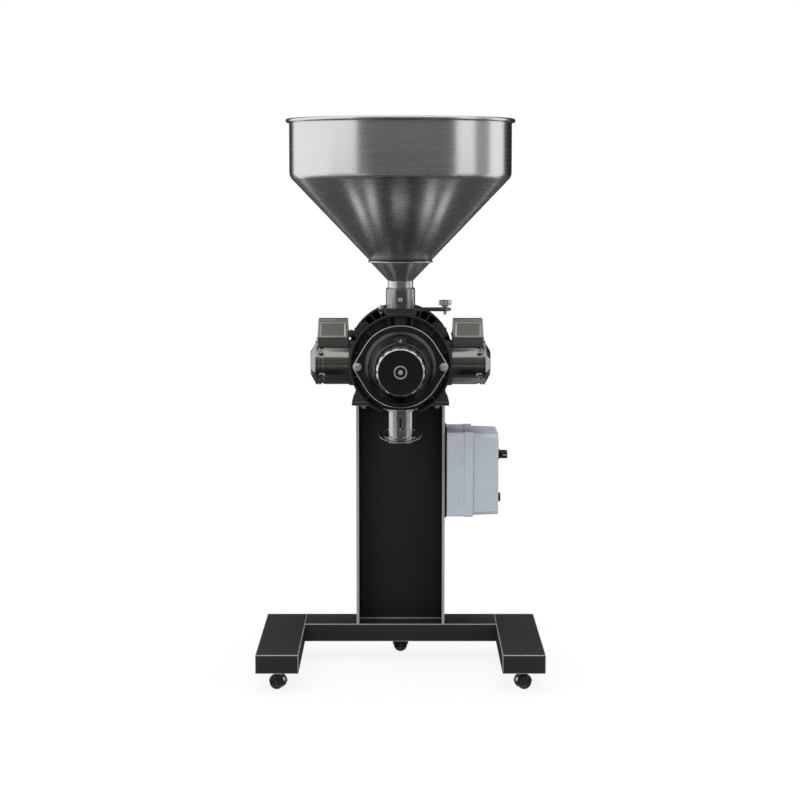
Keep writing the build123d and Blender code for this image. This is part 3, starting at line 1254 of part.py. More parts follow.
def sleeve():
    """Sliding sleeve with an L-shaped slot, a rim and the arm and pin that carry the bag ring."""
    rim_z = sleeve_bottom + SLEEVE_RIM_HEIGHT
    hinge_y = SPOUT_Y + RING_HINGE_REACH
    hinge_z = sleeve_bottom + RING_HINGE_Z
    lug_half = RING_LUG_WIDTH / 2
    body = rod_z(SLEEVE_RADIUS, sleeve_bottom, sleeve_top, 0, SPOUT_Y)
    body = body + rod_z(SLEEVE_RIM_RADIUS, rim_z, rim_z + SLEEVE_RIM, 0, SPOUT_Y)
    body = body + block(-lug_half, lug_half, SPOUT_Y + SLEEVE_RADIUS - 1.0, hinge_y,
                        hinge_z - RING_LUG_HEIGHT / 2, hinge_z + RING_LUG_HEIGHT / 2)
    body = body + rod_x(RING_KNUCKLE_RADIUS, -lug_half, lug_half, hinge_y, hinge_z)
    body = body + rod_x(RING_PIN_RADIUS, -RING_KNUCKLE_WIDTH, RING_KNUCKLE_WIDTH, hinge_y, hinge_z)
    body = body - rod_z(SPOUT_TUBE_RADIUS + SLIDE_CLEARANCE, sleeve_bottom, sleeve_top, 0, SPOUT_Y)
    half = SLOT_WIDTH / 2
    low = sleeve_top - SLOT_TOP - SLOT_LENGTH + half
    high = sleeve_top - SLOT_TOP - half
    y0 = SPOUT_Y - SLEEVE_RADIUS - 1.0
    y1 = SPOUT_Y - SLEEVE_RADIUS / 2
    slot = block(-half, half, y0, y1, low, high) + rod_y(half, y0, y1, 0, low) + rod_y(half, y0, y1, 0, high)
    slot = slot + block(0, SLOT_HOOK, y0, y1, low - half, low + half) + rod_y(half, y0, y1, SLOT_HOOK, low)
    save(body - slot, "spout_sleeve")


def bag_ring():
    """Flat ring round the sleeve, split at the back for the sleeve's arm and hinged there by two ears."""
    half = RING_THICKNESS / 2
    gap = RING_LUG_WIDTH / 2 + SLIDE_CLEARANCE
    ring = rod_z(RING_OUTER, -half, half, 0, -RING_HINGE_REACH)
    ring = ring - rod_z(RING_INNER, -half, half, 0, -RING_HINGE_REACH)
    for side in (-1, 1):
        ring = ring + rod_x(RING_KNUCKLE_RADIUS, side * gap, side * RING_KNUCKLE_WIDTH, 0, 0)
        ring = ring + block(side * gap, side * RING_KNUCKLE_WIDTH, RING_INNER + 2.0 - RING_HINGE_REACH, 0,
                            -half, half)
    ring = ring - block(-gap, gap, RING_INNER - 4.0 - RING_HINGE_REACH, RING_KNUCKLE_RADIUS,
                        -RING_KNUCKLE_RADIUS, RING_KNUCKLE_RADIUS)
    ring = ring - rod_x(RING_PIN_RADIUS + RUN_CLEARANCE, -RING_KNUCKLE_WIDTH, RING_KNUCKLE_WIDTH, 0, 0)
    hinge = Pos(0, SPOUT_Y + RING_HINGE_REACH, sleeve_bottom + RING_HINGE_Z)
    save(hinge * Rot(RING_TILT, 0, 0) * ring, "bag_ring")


def control_box():
    """Plastic box on the column's side: rails, base with knock-outs and ridge, and lid."""
    half_y = BOX_LENGTH / 2
    y0 = column_mid_y - half_y
    y1 = column_mid_y + half_y
    z0 = BOX_BOTTOM
    z1 = BOX_BOTTOM + BOX_HEIGHT
    mid_z = (z0 + z1) / 2
    rails = []
    for side in (-1, 1):
        y = column_mid_y + side * (CROSSBAR_DEPTH / 2 - RAIL_WIDTH / 2 - RAIL_INSET)
        rails.append(block(COLUMN_WIDTH / 2, box_left, y - RAIL_WIDTH / 2, y + RAIL_WIDTH / 2,
                           z0 - RAIL_OVERHANG, z1 + RAIL_OVERHANG))
    save(rails, "control_box_rails")

    back = Plane(origin=(box_left, column_mid_y, mid_z), x_dir=(0, 1, 0), z_dir=(1, 0, 0))
    shell = extrude(back * RectangleRounded(BOX_LENGTH, BOX_HEIGHT, BOX_CORNER), amount=BOX_BASE_DEPTH)
    shell = shell - block(box_left + BOX_WALL, box_seam, y0 + BOX_WALL, y1 - BOX_WALL,
                          z0 + BOX_WALL, z1 - BOX_WALL)
    shell = shell + block(box_left + BOX_RIDGE_X, box_left + BOX_RIDGE_X + BOX_RIDGE, y0 - BOX_RIDGE, y0,
                          z0 + BOX_CORNER, z1 - BOX_CORNER)
    x = box_left + KNOCKOUT_X
    for i in range(KNOCKOUT_COUNT):
        radius = KNOCKOUT_LARGE if i % 2 else KNOCKOUT_SMALL
        z = mid_z + KNOCKOUT_PITCH * ((KNOCKOUT_COUNT - 1) / 2 - i)
        line = rod_y(radius, y0, y0 + KNOCKOUT_DEPTH, x, z)
        shell = shell - (line - rod_y(radius - KNOCKOUT_LINE, y0, y0 + KNOCKOUT_DEPTH, x, z))
    save(shell, "control_box_base")

    seam = Plane(origin=(box_seam, column_mid_y, mid_z), x_dir=(0, 1, 0), z_dir=(1, 0, 0))
    outline = RectangleRounded(BOX_LENGTH - 2 * BOX_LID_STEP, BOX_HEIGHT - 2 * BOX_LID_STEP, BOX_CORNER)
    lid = extrude(seam * outline, amount=BOX_LID_DEPTH, taper=BOX_LID_DRAFT)
    lid = chamfer(lid.faces().sort_by(Axis.X)[-1].edges(), BOX_LID_CHAMFER)
    inset = BOX_LID_STEP + 2 * BOX_WALL
    lid = lid - block(box_seam, box_right - BOX_WALL, y0 + inset, y1 - inset, z0 + inset, z1 - inset)
    lid = lid - rod_x(SWITCH_STEM_RADIUS + RUN_CLEARANCE, box_right - BOX_WALL, box_right,
                      column_mid_y, z0 + SWITCH_Z)
    lid = lid - rod_x(BUTTON_RADIUS + SLIDE_CLEARANCE, box_right - BOX_WALL, box_right,
                      column_mid_y, z0 + BUTTON_Z)
    save(lid, "control_box_lid")


def controls():
    """Main switch with its plate, and the push button in its collar, on the box's lid."""
    y = column_mid_y
    wall_back = box_right - BOX_WALL
    switch_z = BOX_BOTTOM + SWITCH_Z
    plate_z = switch_z + SWITCH_PLATE_RISE
    plate = block(box_right, box_right + SWITCH_PLATE, y - SWITCH_PLATE_WIDTH / 2, y + SWITCH_PLATE_WIDTH / 2,
                  plate_z - SWITCH_PLATE_HEIGHT / 2, plate_z + SWITCH_PLATE_HEIGHT / 2)
    plate = plate - rod_x(SWITCH_STEM_RADIUS + RUN_CLEARANCE, box_right, box_right + SWITCH_PLATE,
                          y, switch_z)
    save(plate, "switch_plate")
    hub_start = box_right + SWITCH_PLATE + SLIDE_CLEARANCE
    hub_end = hub_start + SWITCH_HUB
    grip = block(hub_end, hub_end + SWITCH_GRIP_DEPTH, y - SWITCH_GRIP_LENGTH / 2, y + SWITCH_GRIP_LENGTH / 2,
                 switch_z - SWITCH_GRIP_WIDTH / 2, switch_z + SWITCH_GRIP_WIDTH / 2)
    grip = chamfer(grip.edges().filter_by(Axis.X), SWITCH_GRIP_CHAMFER)
    stem = rod_x(SWITCH_STEM_RADIUS, wall_back - SWITCH_STEM_TAIL, hub_start, y, switch_z)
    save(rod_x(SWITCH_HUB_RADIUS, hub_start, hub_end, y, switch_z) + grip + stem, "switch_handle")

    button_z = BOX_BOTTOM + BUTTON_Z
    collar = rod_x(BUTTON_COLLAR_RADIUS, box_right, box_right + BUTTON_COLLAR, y, button_z)
    collar = collar - rod_x(BUTTON_RADIUS + SLIDE_CLEARANCE, box_right, box_right + BUTTON_COLLAR,
                            y, button_z)
    save(collar, "button_collar")
    button = rod_x(BUTTON_RADIUS, wall_back - BUTTON_TAIL, box_right + BUTTON_PROUD, y, button_z)
    flange = rod_x(BUTTON_RADIUS + BUTTON_FLANGE, wall_back - BUTTON_TAIL, wall_back - SLIDE_CLEARANCE,
                   y, button_z)
    save(button + flange, "push_button")


def rear_end():
    """Fan on the shaft's end and the slotted cover round it."""
    hub_front = SHAFT_BACK - FAN_DEPTH
    fan = rod_y(FAN_HUB_RADIUS, hub_front, SHAFT_BACK)
    fan = fan + rod_y(FAN_RADIUS, hub_front, hub_front + FAN_BLADE_THICKNESS)
    blade = block(-FAN_BLADE_THICKNESS / 2, FAN_BLADE_THICKNESS / 2, hub_front, SHAFT_BACK,
                  axis_z + FAN_HUB_RADIUS - 2.0, axis_z + FAN_RADIUS)
    fan = fan + around_y(blade, FAN_BLADE_COUNT)
    save(fan - rod_y(SHAFT_RADIUS, hub_front, SHAFT_BACK), "cooling_fan")

    inner = COWL_RADIUS - COWL_WALL
    cowl = turned_y([
        (inner, COWL_FRONT),
        (COWL_RADIUS, COWL_FRONT),
        (COWL_RADIUS, COWL_BACK - COWL_CORNER),
        (COWL_RADIUS - COWL_CORNER, COWL_BACK),
        (0.0, COWL_BACK),
        (0.0, COWL_BACK - COWL_WALL),
        (inner - COWL_CORNER, COWL_BACK - COWL_WALL),
        (inner, COWL_BACK - COWL_WALL - COWL_CORNER),
    ])
    slot = block(-COWL_SLOT_WIDTH / 2, COWL_SLOT_WIDTH / 2, COWL_BACK - 2 * COWL_WALL, COWL_BACK,
                 axis_z + COWL_SLOT_INNER, axis_z + COWL_SLOT_OUTER)
    save(cowl - around_y(slot, COWL_SLOT_COUNT), "fan_cover")


base()
casters()
column()
housing()
bearings()
gears()
main_shaft()
auger()
burrs()
front_cover()
adjuster()
motors()
cable_glands()
gate()
hopper()
head_fasteners([*foot_bolts(), *feed_tube(), spout()])
sleeve()
bag_ring()
control_box()
controls()
rear_end()
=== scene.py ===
"""Looks of a floor-standing industrial coffee grinder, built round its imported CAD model.

Pieces are modelled in millimetres and scaled to metres when they are finished.
"""
import math
import bmesh
import bpy
from mathutils import Matrix, Vector


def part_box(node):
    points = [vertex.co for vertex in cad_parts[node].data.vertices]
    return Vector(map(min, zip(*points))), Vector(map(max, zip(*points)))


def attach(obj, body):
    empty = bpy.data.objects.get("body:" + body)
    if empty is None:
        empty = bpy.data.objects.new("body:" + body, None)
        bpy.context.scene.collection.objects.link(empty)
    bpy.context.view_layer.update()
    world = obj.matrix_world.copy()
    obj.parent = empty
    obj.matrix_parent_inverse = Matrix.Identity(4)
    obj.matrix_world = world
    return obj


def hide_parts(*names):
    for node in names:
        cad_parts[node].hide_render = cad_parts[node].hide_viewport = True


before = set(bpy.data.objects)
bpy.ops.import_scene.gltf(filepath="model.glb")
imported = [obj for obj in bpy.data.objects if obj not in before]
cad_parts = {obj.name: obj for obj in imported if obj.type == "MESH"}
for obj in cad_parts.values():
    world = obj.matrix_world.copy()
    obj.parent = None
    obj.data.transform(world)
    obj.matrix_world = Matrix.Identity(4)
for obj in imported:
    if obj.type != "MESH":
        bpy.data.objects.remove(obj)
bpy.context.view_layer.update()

# Camera, as the photograph was taken
CAMERA_PLACE = (0.0, -5.777, 1.411)
CAMERA_PITCH = 6.232
CAMERA_LENS = 90.0
CAMERA_SENSOR = 36.0
CAMERA_SHIFT = -0.000625

# Places that several pieces share, in millimetres
AXIS_Z = 883.5
FEED_Y = 23.0
MOTOR_Y = 68.0
SPOUT_Y = -42.0
HEAD_CENTRE = (0.0, 0.0, AXIS_Z)
FEED_CENTRE = (0.0, FEED_Y, 0.0)
MOTOR_CENTRE = (0.0, MOTOR_Y, AXIS_Z)
SPOUT_CENTRE = (0.0, SPOUT_Y, 0.0)

MILLIMETRE = 0.001
UP = Vector((0, 0, 1))
AXES = {"X": Vector((1, 0, 0)), "Y": Vector((0, 1, 0)), "Z": UP}

# Shader trees


class Value:
    """One socket of a node tree. Python's operators on it add Math nodes."""

    def __init__(self, tree, socket):
        self.tree = tree
        self.socket = socket

    def maths(self, operation, first, second):
        return self.tree.node("ShaderNodeMath", {"operation": operation}, {0: first, 1: second})

    def __add__(self, other):
        return self.maths("ADD", self, other)

    def __sub__(self, other):
        return self.maths("SUBTRACT", self, other)

    def __rsub__(self, other):
        return self.maths("SUBTRACT", other, self)

    def __mul__(self, other):
        return self.maths("MULTIPLY", self, other)

    def larger(self, other):
        return self.maths("MAXIMUM", self, other)

    __radd__ = __add__
    __rmul__ = __mul__


class Tree:
    """The node tree of a material or the world."""

    def __init__(self, owner):
        owner.use_nodes = True
        self.nodes = owner.node_tree.nodes
        self.links = owner.node_tree.links

    def feed(self, node, sockets):
        """Sets or links the named or numbered inputs of a node."""
        for key, given in sockets.items():
            if isinstance(given, Value):
                self.links.new(given.socket, node.inputs[key])
            elif isinstance(given, tuple) and len(given) == 3 and node.inputs[key].type == "RGBA":
                node.inputs[key].default_value = (*given, 1.0)
            else:
                node.inputs[key].default_value = given

    def node(self, kind, settings=None, sockets=None, output=0):
        """Adds a node: its settings first, then its inputs, and gives one of its outputs."""
        made = self.nodes.new(kind)
        for key, given in (settings or {}).items():
            setattr(made, key, given)
        self.feed(made, sockets or {})
        return Value(self, made.outputs[output])


class Finish(Tree):
    """A material for one finish, with its shader and the patterns that finishes are made of."""

    def __init__(self, name, colour, roughness, metallic=0.0):
        self.material = bpy.data.materials.new(name)
        super().__init__(self.material)
        self.shader = self.nodes["Principled BSDF"]
        self.colour = colour
        self.place = self.node("ShaderNodeTexCoord", output="Object")
        self.feed(self.shader, {"Base Color": colour, "Roughness": roughness, "Metallic": metallic})

    def noise(self, scale, detail, stretch=(1.0, 1.0, 1.0)):
        """Noise from 0 to 1; scale is per metre, and stretch multiplies it along each axis."""
        place = self.node("ShaderNodeMapping", None, {"Vector": self.place, "Scale": stretch})
        return self.node("ShaderNodeTexNoise", None, {"Vector": place, "Scale": scale, "Detail": detail})

    def turned_lines(self, centre, across, scale):
        """Lathe lines: noise that changes only with the distance from an axis through centre."""
        near = self.node("ShaderNodeVectorMath", {"operation": "SUBTRACT"}, {0: self.place, 1: centre})
        flat = self.node("ShaderNodeVectorMath", {"operation": "MULTIPLY"}, {0: near, 1: across})
        reach = self.node("ShaderNodeVectorMath", {"operation": "LENGTH"}, {0: flat}, "Value")
        return self.node("ShaderNodeTexNoise", {"noise_dimensions": "1D"},
                         {"W": reach, "Scale": scale, "Detail": 2.0})

    def vary(self, shades, factor, roughness, height, strength, depth):
        """Colour between two multiples of the finish's, a roughness, and bumps of a height pattern."""
        low, high = [tuple(min(1.0, part * times) for part in self.colour) for times in shades]
        colour = self.node("ShaderNodeMix", {"data_type": "RGBA"}, {0: factor, 6: low, 7: high}, 2)
        bump = self.node("ShaderNodeBump", None, {"Strength": strength, "Distance": depth, "Height": height})
        self.feed(self.shader, {"Base Color": colour, "Roughness": roughness, "Normal": bump})
        return self.material


def powder_coat(name, colour, roughness, grain=420.0, strength=0.25, metallic=0.0):
    """Painted steel or casting: fine orange-peel grain, broad cloudiness."""
    made = Finish(name, colour, roughness, metallic)
    fine = made.noise(grain, 2.0)
    broad = made.noise(5.0, 4.0)
    return made.vary((0.8, 1.2), broad * 0.6 + fine * 0.4,
                     roughness + 0.16 * (fine - 0.5) + 0.12 * (broad - 0.5), fine, strength, 0.0004)


def sheet_steel(name, colour, roughness, stretch, strength, anisotropy):
    """Stainless sheet, brushed in long lines across the stretched axis."""
    made = Finish(name, colour, roughness, 1.0)
    made.feed(made.shader, {"Anisotropic": anisotropy, "Anisotropic Rotation": 0.25})
    lines = made.noise(1.0, 1.0, stretch)
    smear = made.noise(9.0, 3.0)
    return made.vary((0.92, 1.04), lines, roughness + 0.06 * (lines - 0.5) + 0.05 * (smear - 0.5),
                     lines, strength, 0.0003)


def turned_metal(name, colour, roughness, centre, across):
    """Metal turned on a lathe, with fine rings about its own axis."""
    made = Finish(name, colour, roughness, 1.0)
    rings = made.turned_lines(centre, across, 1300.0)
    smear = made.noise(14.0, 3.0)
    return made.vary((0.85, 1.1), rings, roughness + 0.12 * (rings - 0.5) + 0.1 * (smear - 0.5),
                     rings, 0.1, 0.0002)


def cast_metal(name, colour, roughness, metallic, strength):
    """Casting under a thin coat: soft pebble grain and a few darker patches."""
    made = Finish(name, colour, roughness, metallic)
    pebble = made.noise(230.0, 3.0)
    patch = made.noise(11.0, 4.0)
    return made.vary((0.78, 1.14), patch * 0.6 + pebble * 0.4,
                     roughness + 0.12 * (pebble - 0.5) + 0.1 * (patch - 0.5), pebble, strength, 0.0005)


def moulded_plastic(name, colour, roughness, grain=700.0, strength=0.12):
    """Moulded plastic: very fine spark texture and a faint cloud of colour."""
    made = Finish(name, colour, roughness)
    spark = made.noise(grain, 1.0)
    cloud = made.noise(6.0, 3.0)
    return made.vary((0.95, 1.05), cloud * 0.7 + spark * 0.3,
                     roughness + 0.12 * (spark - 0.5) + 0.08 * (cloud - 0.5), spark, strength, 0.0002)


def polished(name, colour, roughness, smears=26.0, metallic=1.0):
    """Polished or plated metal with faint wiping marks."""
    made = Finish(name, colour, roughness, metallic)
    marks = made.noise(smears, 5.0)
    return made.vary((0.92, 1.05), marks, roughness + 0.09 * (marks - 0.4), marks, 0.03, 0.0003)


# Finishes: how each is made, its colour, its roughness, and what is special to it

HEAD_AXIS = ((0.0, 0.0, AXIS_Z * MILLIMETRE), (1.0, 0.0, 1.0))
FEED_AXIS = ((0.0, FEED_Y * MILLIMETRE, 0.0), (1.0, 1.0, 0.0))
RECIPES = {
    "hopper_steel": (sheet_steel, (0.75, 0.745, 0.73), 0.27, (5.0, 5.0, 700.0), 0.006, 0.75),
    "adaptor_steel": (sheet_steel, (0.74, 0.735, 0.72), 0.31, (9.0, 9.0, 900.0), 0.008, 0.5),
    "fastener_steel": (polished, (0.8, 0.8, 0.78), 0.3, 26.0, 0.8),
    "spout_chrome": (polished, (0.56, 0.56, 0.555), 0.2, 90.0),
    "feed_black": (turned_metal, (0.40, 0.40, 0.395), 0.26, *FEED_AXIS),
    "gate_dark": (powder_coat, (0.05, 0.05, 0.052), 0.34, 600.0, 0.1, 0.5),
    "slide_steel": (sheet_steel, (0.22, 0.22, 0.215), 0.3, (6.0, 900.0, 6.0), 0.05, 0.2),
    "knob_metal": (turned_metal, (0.76, 0.76, 0.75), 0.27, *HEAD_AXIS),
    "head_dark": (cast_metal, (0.035, 0.036, 0.038), 0.36, 0.1, 0.2),
    "cover_grey": (turned_metal, (0.085, 0.088, 0.092), 0.3, *HEAD_AXIS),
    "motor_metal": (cast_metal, (0.39, 0.385, 0.365), 0.18, 1.0, 0.025),
    "terminal_metal": (cast_metal, (0.30, 0.295, 0.275), 0.38, 0.6, 0.15),
    "gland_black": (moulded_plastic, (0.03, 0.03, 0.03), 0.5),
    "frame_black": (powder_coat, (0.022, 0.0225, 0.024), 0.42),
    "panel_black": (powder_coat, (0.014, 0.015, 0.0165), 0.48),
    "cowl_black": (powder_coat, (0.028, 0.028, 0.03), 0.38, 700.0, 0.12),
    "box_plastic": (moulded_plastic, (0.44, 0.475, 0.525), 0.42),
    "switch_black": (moulded_plastic, (0.014, 0.014, 0.015), 0.35),
    "button_black": (moulded_plastic, (0.012, 0.012, 0.013), 0.22, 900.0, 0.05),
    "wheel_black": (moulded_plastic, (0.03, 0.031, 0.034), 0.4, 500.0, 0.1),
    "caster_chrome": (polished, (0.72, 0.72, 0.72), 0.24),
    "burr_steel": (turned_metal, (0.42, 0.42, 0.41), 0.28, *HEAD_AXIS),
    "shaft_steel": (turned_metal, (0.5, 0.5, 0.49), 0.25, *HEAD_AXIS),
    # Brighter polished finish for bevels and slanted walls: a painted highlight along their edges
    "edge_bright": (polished, (0.62, 0.62, 0.61), 0.35, 26.0, 0.5),
    # Lighter grey for bevels and front faces of black parts: a painted highlight along their edges
    "edge_bare": (powder_coat, (0.33, 0.33, 0.33), 0.45, 500.0, 0.1),
    "fan_black": (moulded_plastic, (0.03, 0.03, 0.031), 0.45),
}
FINISHES = {name: make(name, *values) for name, (make, *values) in RECIPES.items()}


def dress_nodes():
    """Gives each node of the frame the finish of its slot."""
    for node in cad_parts.values():
        for place in node.material_slots:
            slot = place.material.name.split(".")[0] if place.material else ""
            if slot in FINISHES:
                place.material = FINISHES[slot]


# Modelling helpers. Outlines are lists of corners, (along, up) or (along, up, corner radius), in millimetres

ROUND_STEP = 12.0
TURN_STEPS = 96


def arc(centre, radius, start, end, step=6.0):
    """Points of an arc, angles in degrees."""
    count = max(1, math.ceil(abs(end - start) / step))
    turns = [math.radians(start + (end - start) * i / count) for i in range(count + 1)]
    return [(centre[0] + radius * math.cos(turn), centre[1] + radius * math.sin(turn)) for turn in turns]


def rounded(corners):
    """Closed outline with an arc at each corner that names a radius."""
    points = []
    for i, corner in enumerate(corners):
        here = Vector(corner[:2])
        if len(corner) < 3 or not corner[2]:
            points.append(tuple(here))
            continue
        before = (Vector(corners[i - 1][:2]) - here).normalized()
        after = (Vector(corners[(i + 1) % len(corners)][:2]) - here).normalized()
        half = before.angle(after) / 2
        centre = here + (before + after).normalized() * corner[2] / math.sin(half)
        start = here + before * corner[2] / math.tan(half) - centre
        turn = (here + after * corner[2] / math.tan(half) - centre).angle_signed(start)
        steps = max(2, math.ceil(math.degrees(abs(turn)) / ROUND_STEP))
        points += [tuple(centre + Matrix.Rotation(turn * k / steps, 2) @ start) for k in range(steps + 1)]
    return points


def rectangle(low, high, radius=0.0):
    """Rectangle between two corners, with rounded corners."""
    return rounded([(low[0], low[1], radius), (high[0], low[1], radius),
                    (high[0], high[1], radius), (low[0], high[1], radius)])


def solid(shape):
    """Merges doubles and points the faces outwards."""
    bmesh.ops.remove_doubles(shape, verts=shape.verts, dist=0.002)
    bmesh.ops.dissolve_degenerate(shape, edges=shape.edges, dist=0.001)
    bmesh.ops.recalc_face_normals(shape, faces=shape.faces)
    return shape


def spun(profile, centre, axis, steps=TURN_STEPS):
    """Turns a closed profile of (radius, distance along the axis) about an axis through centre."""
    shape = bmesh.new()
    along = AXES[axis]
    out = AXES["Y" if axis == "X" else "X"]
    corners = [shape.verts.new(Vector(centre) + out * radius + along * distance)
               for radius, distance in profile]
    edges = [shape.edges.new((corners[i - 1], corners[i])) for i in range(len(corners))]
    sides = zip([profile[-1], *profile], profile)
    edges = [edge for edge, (first, second) in zip(edges, sides) if first[0] > 0.01 or second[0] > 0.01]
    bmesh.ops.spin(shape, geom=corners + edges, cent=centre, axis=along,
                   angle=2 * math.pi, steps=steps, use_merge=True)
    lone = [edge for edge in shape.edges if not edge.link_faces]
    bmesh.ops.delete(shape, geom=lone, context="EDGES")
    return solid(shape)


def lathed(corners, centre, axis, steps=TURN_STEPS):
    """Turns a profile whose corners may name a radius."""
    return spun(rounded(corners), centre, axis, steps)


def slab(outline, axis, low, high):
    """Extrudes an outline along an axis; it is drawn as (y, z), (x, z) or (x, y)."""
    places = {"X": lambda a, b: (low, a, b), "Y": lambda a, b: (a, low, b), "Z": lambda a, b: (a, b, low)}
    shape = bmesh.new()
    face = shape.faces.new([shape.verts.new(places[axis](*point)) for point in outline])
    grown = bmesh.ops.extrude_face_region(shape, geom=[face])
    moved = [item for item in grown["geom"] if isinstance(item, bmesh.types.BMVert)]
    bmesh.ops.translate(shape, verts=moved, vec=AXES[axis] * (high - low))
    return solid(shape)


def block(low, high):
    """Box between two corners."""
    shape = bmesh.new()
    low, high = Vector(low), Vector(high)
    matrix = Matrix.Translation((low + high) / 2) @ Matrix.Diagonal((*(high - low), 1.0))
    bmesh.ops.create_cube(shape, size=1.0, matrix=matrix)
    return shape


def rod(radius, axis, low, high, centre, edge=0.0, steps=48):
    """Round bar along an axis through centre, with its rims rounded."""
    return lathed([(0.0, low), (radius, low, edge), (radius, high, edge), (0.0, high)], centre, axis, steps)


def hexagon(across, low, high, centre, edge=0.6):
    """Upright hexagonal head or nut with its rims bevelled; across is from its middle to a corner."""
    return soften(slab(arc(centre[:2], across, 0, 300, 60), "Z", low, high), edge)


def soften(shape, width, segments=2, least=30.0, chosen=None, finish=-1):
    """Bevels the edges that are sharper than an angle; finish is the place of the bevels' material."""
    shape.normal_update()
    edges = [edge for edge in shape.edges if edge.is_manifold
             and math.degrees(edge.calc_face_angle(0.0)) > least and (not chosen or chosen(edge))]
    bmesh.ops.bevel(shape, geom=edges, offset=width, offset_type="OFFSET", segments=segments,
                    profile=0.5, affect="EDGES", clamp_overlap=True, material=finish)
    return shape


def board(low, high, corner, axis, start, end, edge, segments=3):
    """Thick plate with rounded corners, drawn like a slab, with its rims bevelled."""
    return soften(slab(rectangle(low, high, corner), axis, start, end), edge, segments, 50.0)


def mesh_of(shape, name):
    """A mesh made of a shape; the shape is used up."""
    mesh = bpy.data.meshes.new(name)
    shape.to_mesh(mesh)
    shape.free()
    return mesh


def placed(name, data):
    """A new object in the scene."""
    made = bpy.data.objects.new(name, data)
    bpy.context.scene.collection.objects.link(made)
    return made


def joined(*shapes):
    """One shape from several."""
    whole = bmesh.new()
    for shape in shapes:
        passed = mesh_of(shape, "passed")
        whole.from_mesh(passed)
        bpy.data.meshes.remove(passed)
    return whole


def carved(shape, *cutters):
    """Takes cutters out of a shape."""
    made = [placed("carving", mesh_of(part, "carving")) for part in (shape, joined(*cutters))]
    cut = made[0].modifiers.new("cut", "BOOLEAN")
    cut.object = made[1]
    cut.operation = "DIFFERENCE"
    cut.solver = "EXACT"
    cut.use_self = True
    bpy.context.view_layer.update()
    result = bpy.data.meshes.new_from_object(made[0].evaluated_get(bpy.context.evaluated_depsgraph_get()))
    whole = bmesh.new()
    whole.from_mesh(result)
    bpy.data.meshes.remove(result)
    for part in made:
        mesh = part.data
        bpy.data.objects.remove(part)
        bpy.data.meshes.remove(mesh)
    return merged(whole)


def merged(shape):
    """Merges the shape's doubles and the faces that lie in one plane."""
    bmesh.ops.remove_doubles(shape, verts=shape.verts, dist=0.01)
    bmesh.ops.dissolve_limit(shape, angle_limit=math.radians(0.5), verts=shape.verts, edges=shape.edges)
    return shape


def tapered(shape, axis, far, middle, size, pull):
    """Narrows the end of a shape that lies past far on the axis, by pull on each of its sizes."""
    end = [vert for vert in shape.verts if vert.co.dot(AXES[axis]) > far]
    scale = [1.0 if part is None else 1 - pull / part for part in size]
    bmesh.ops.scale(shape, vec=scale, verts=end, space=Matrix.Translation(-Vector(middle)))
    return shape


def mirrored(shape, side):
    """The shape as modelled on the right, or its mirror image on the left."""
    if side < 0:
        bmesh.ops.scale(shape, vec=(-1, 1, 1), verts=shape.verts)
        bmesh.ops.reverse_faces(shape, faces=shape.faces)
    return shape


def piece(shape, name, slot, *nodes, body="stand", sharp=28.0, edges=None):
    """Makes a shape a piece of the object, with its finishes, the nodes it stands for and its body."""
    bmesh.ops.scale(shape, vec=(MILLIMETRE, MILLIMETRE, MILLIMETRE), verts=shape.verts)
    shape.normal_update()
    for face in shape.faces:
        face.smooth = True
    for edge in shape.edges:
        edge.smooth = not edge.is_manifold or math.degrees(edge.calc_face_angle(0.0)) < sharp
    mesh = mesh_of(shape, name)
    mesh.materials.append(FINISHES[slot])
    if edges:
        mesh.materials.append(FINISHES[edges])
    made = placed(name, mesh)
    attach(made, body)
    if nodes:
        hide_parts(*nodes)
    return made


def from_node(node, width, segments=2, finish=-1):
    """A copy of a CAD node's mesh, in millimetres, merged and with its sharp edges bevelled."""
    shape = bmesh.new()
    shape.from_mesh(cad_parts[node].data)
    bmesh.ops.scale(shape, vec=(1 / MILLIMETRE, 1 / MILLIMETRE, 1 / MILLIMETRE), verts=shape.verts)
    return soften(merged(shape), width, segments, finish=finish)


def extent(node):
    """Lowest and highest corners of a CAD node, in millimetres."""
    low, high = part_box(node)
    return low / MILLIMETRE, high / MILLIMETRE


# Hopper and feed, top down

SHEET = 2.0
CONE_SLOPE = 0.955
CONE_SHEET = SHEET * math.hypot(1.0, CONE_SLOPE)
BEAD = 6.0
BEND = 28.0
SEAM_RADIUS = 90.0
SEAM_RING = 2.6
LAP_RADIUS = 66.07
SPIGOT_RADIUS = 36.85
HOPPER_STEPS = 160
SHEET_SHARP = 50.0
RIVET_BEARINGS = (-16.8, -10.3, 72.8, 103.2, 163.2, 223.2, 283.2)
RIVET_HEIGHT = 0.53


def hopper():
    """Open stainless hopper: cone, straight side and rolled rim, one sheet thick."""
    low, high = extent("hopper")
    side = high.x - 2 * BEAD + SHEET
    shoulder = low.z + (side - LAP_RADIUS) / CONE_SLOPE
    bead = (side - SHEET + BEAD, high.z - BEAD)
    meets = 360.0 - math.degrees(math.acos((side - bead[0]) / BEAD))
    sheet = [(LAP_RADIUS, low.z), (side, shoulder, BEND), *arc(bead, BEAD, meets, 540.0, 15.0),
             (side - SHEET, shoulder + 0.4, BEND - SHEET), (LAP_RADIUS - CONE_SHEET, low.z)]
    bowl = lathed(sheet, FEED_CENTRE, "Z", HOPPER_STEPS)
    piece(bowl, "hopper_bowl", "hopper_steel", "hopper", sharp=SHEET_SHARP)


def rivet(place, outward, radius, height):
    """Low domed head on a sloping sheet."""
    crown = [(radius * x, height * y) for x, y in arc((0.0, 0.0), 1.0, 0.0, 75.0, 15.0)]
    dome = spun([(0.0, -0.5), (radius, -0.5), *crown, (0.0, height)], (0.0, 0.0, 0.0), "Z", 20)
    turn = Vector(outward).to_track_quat("Z", "Y").to_matrix().to_4x4()
    bmesh.ops.transform(dome, matrix=Matrix.Translation(place) @ turn, verts=dome.verts)
    return dome


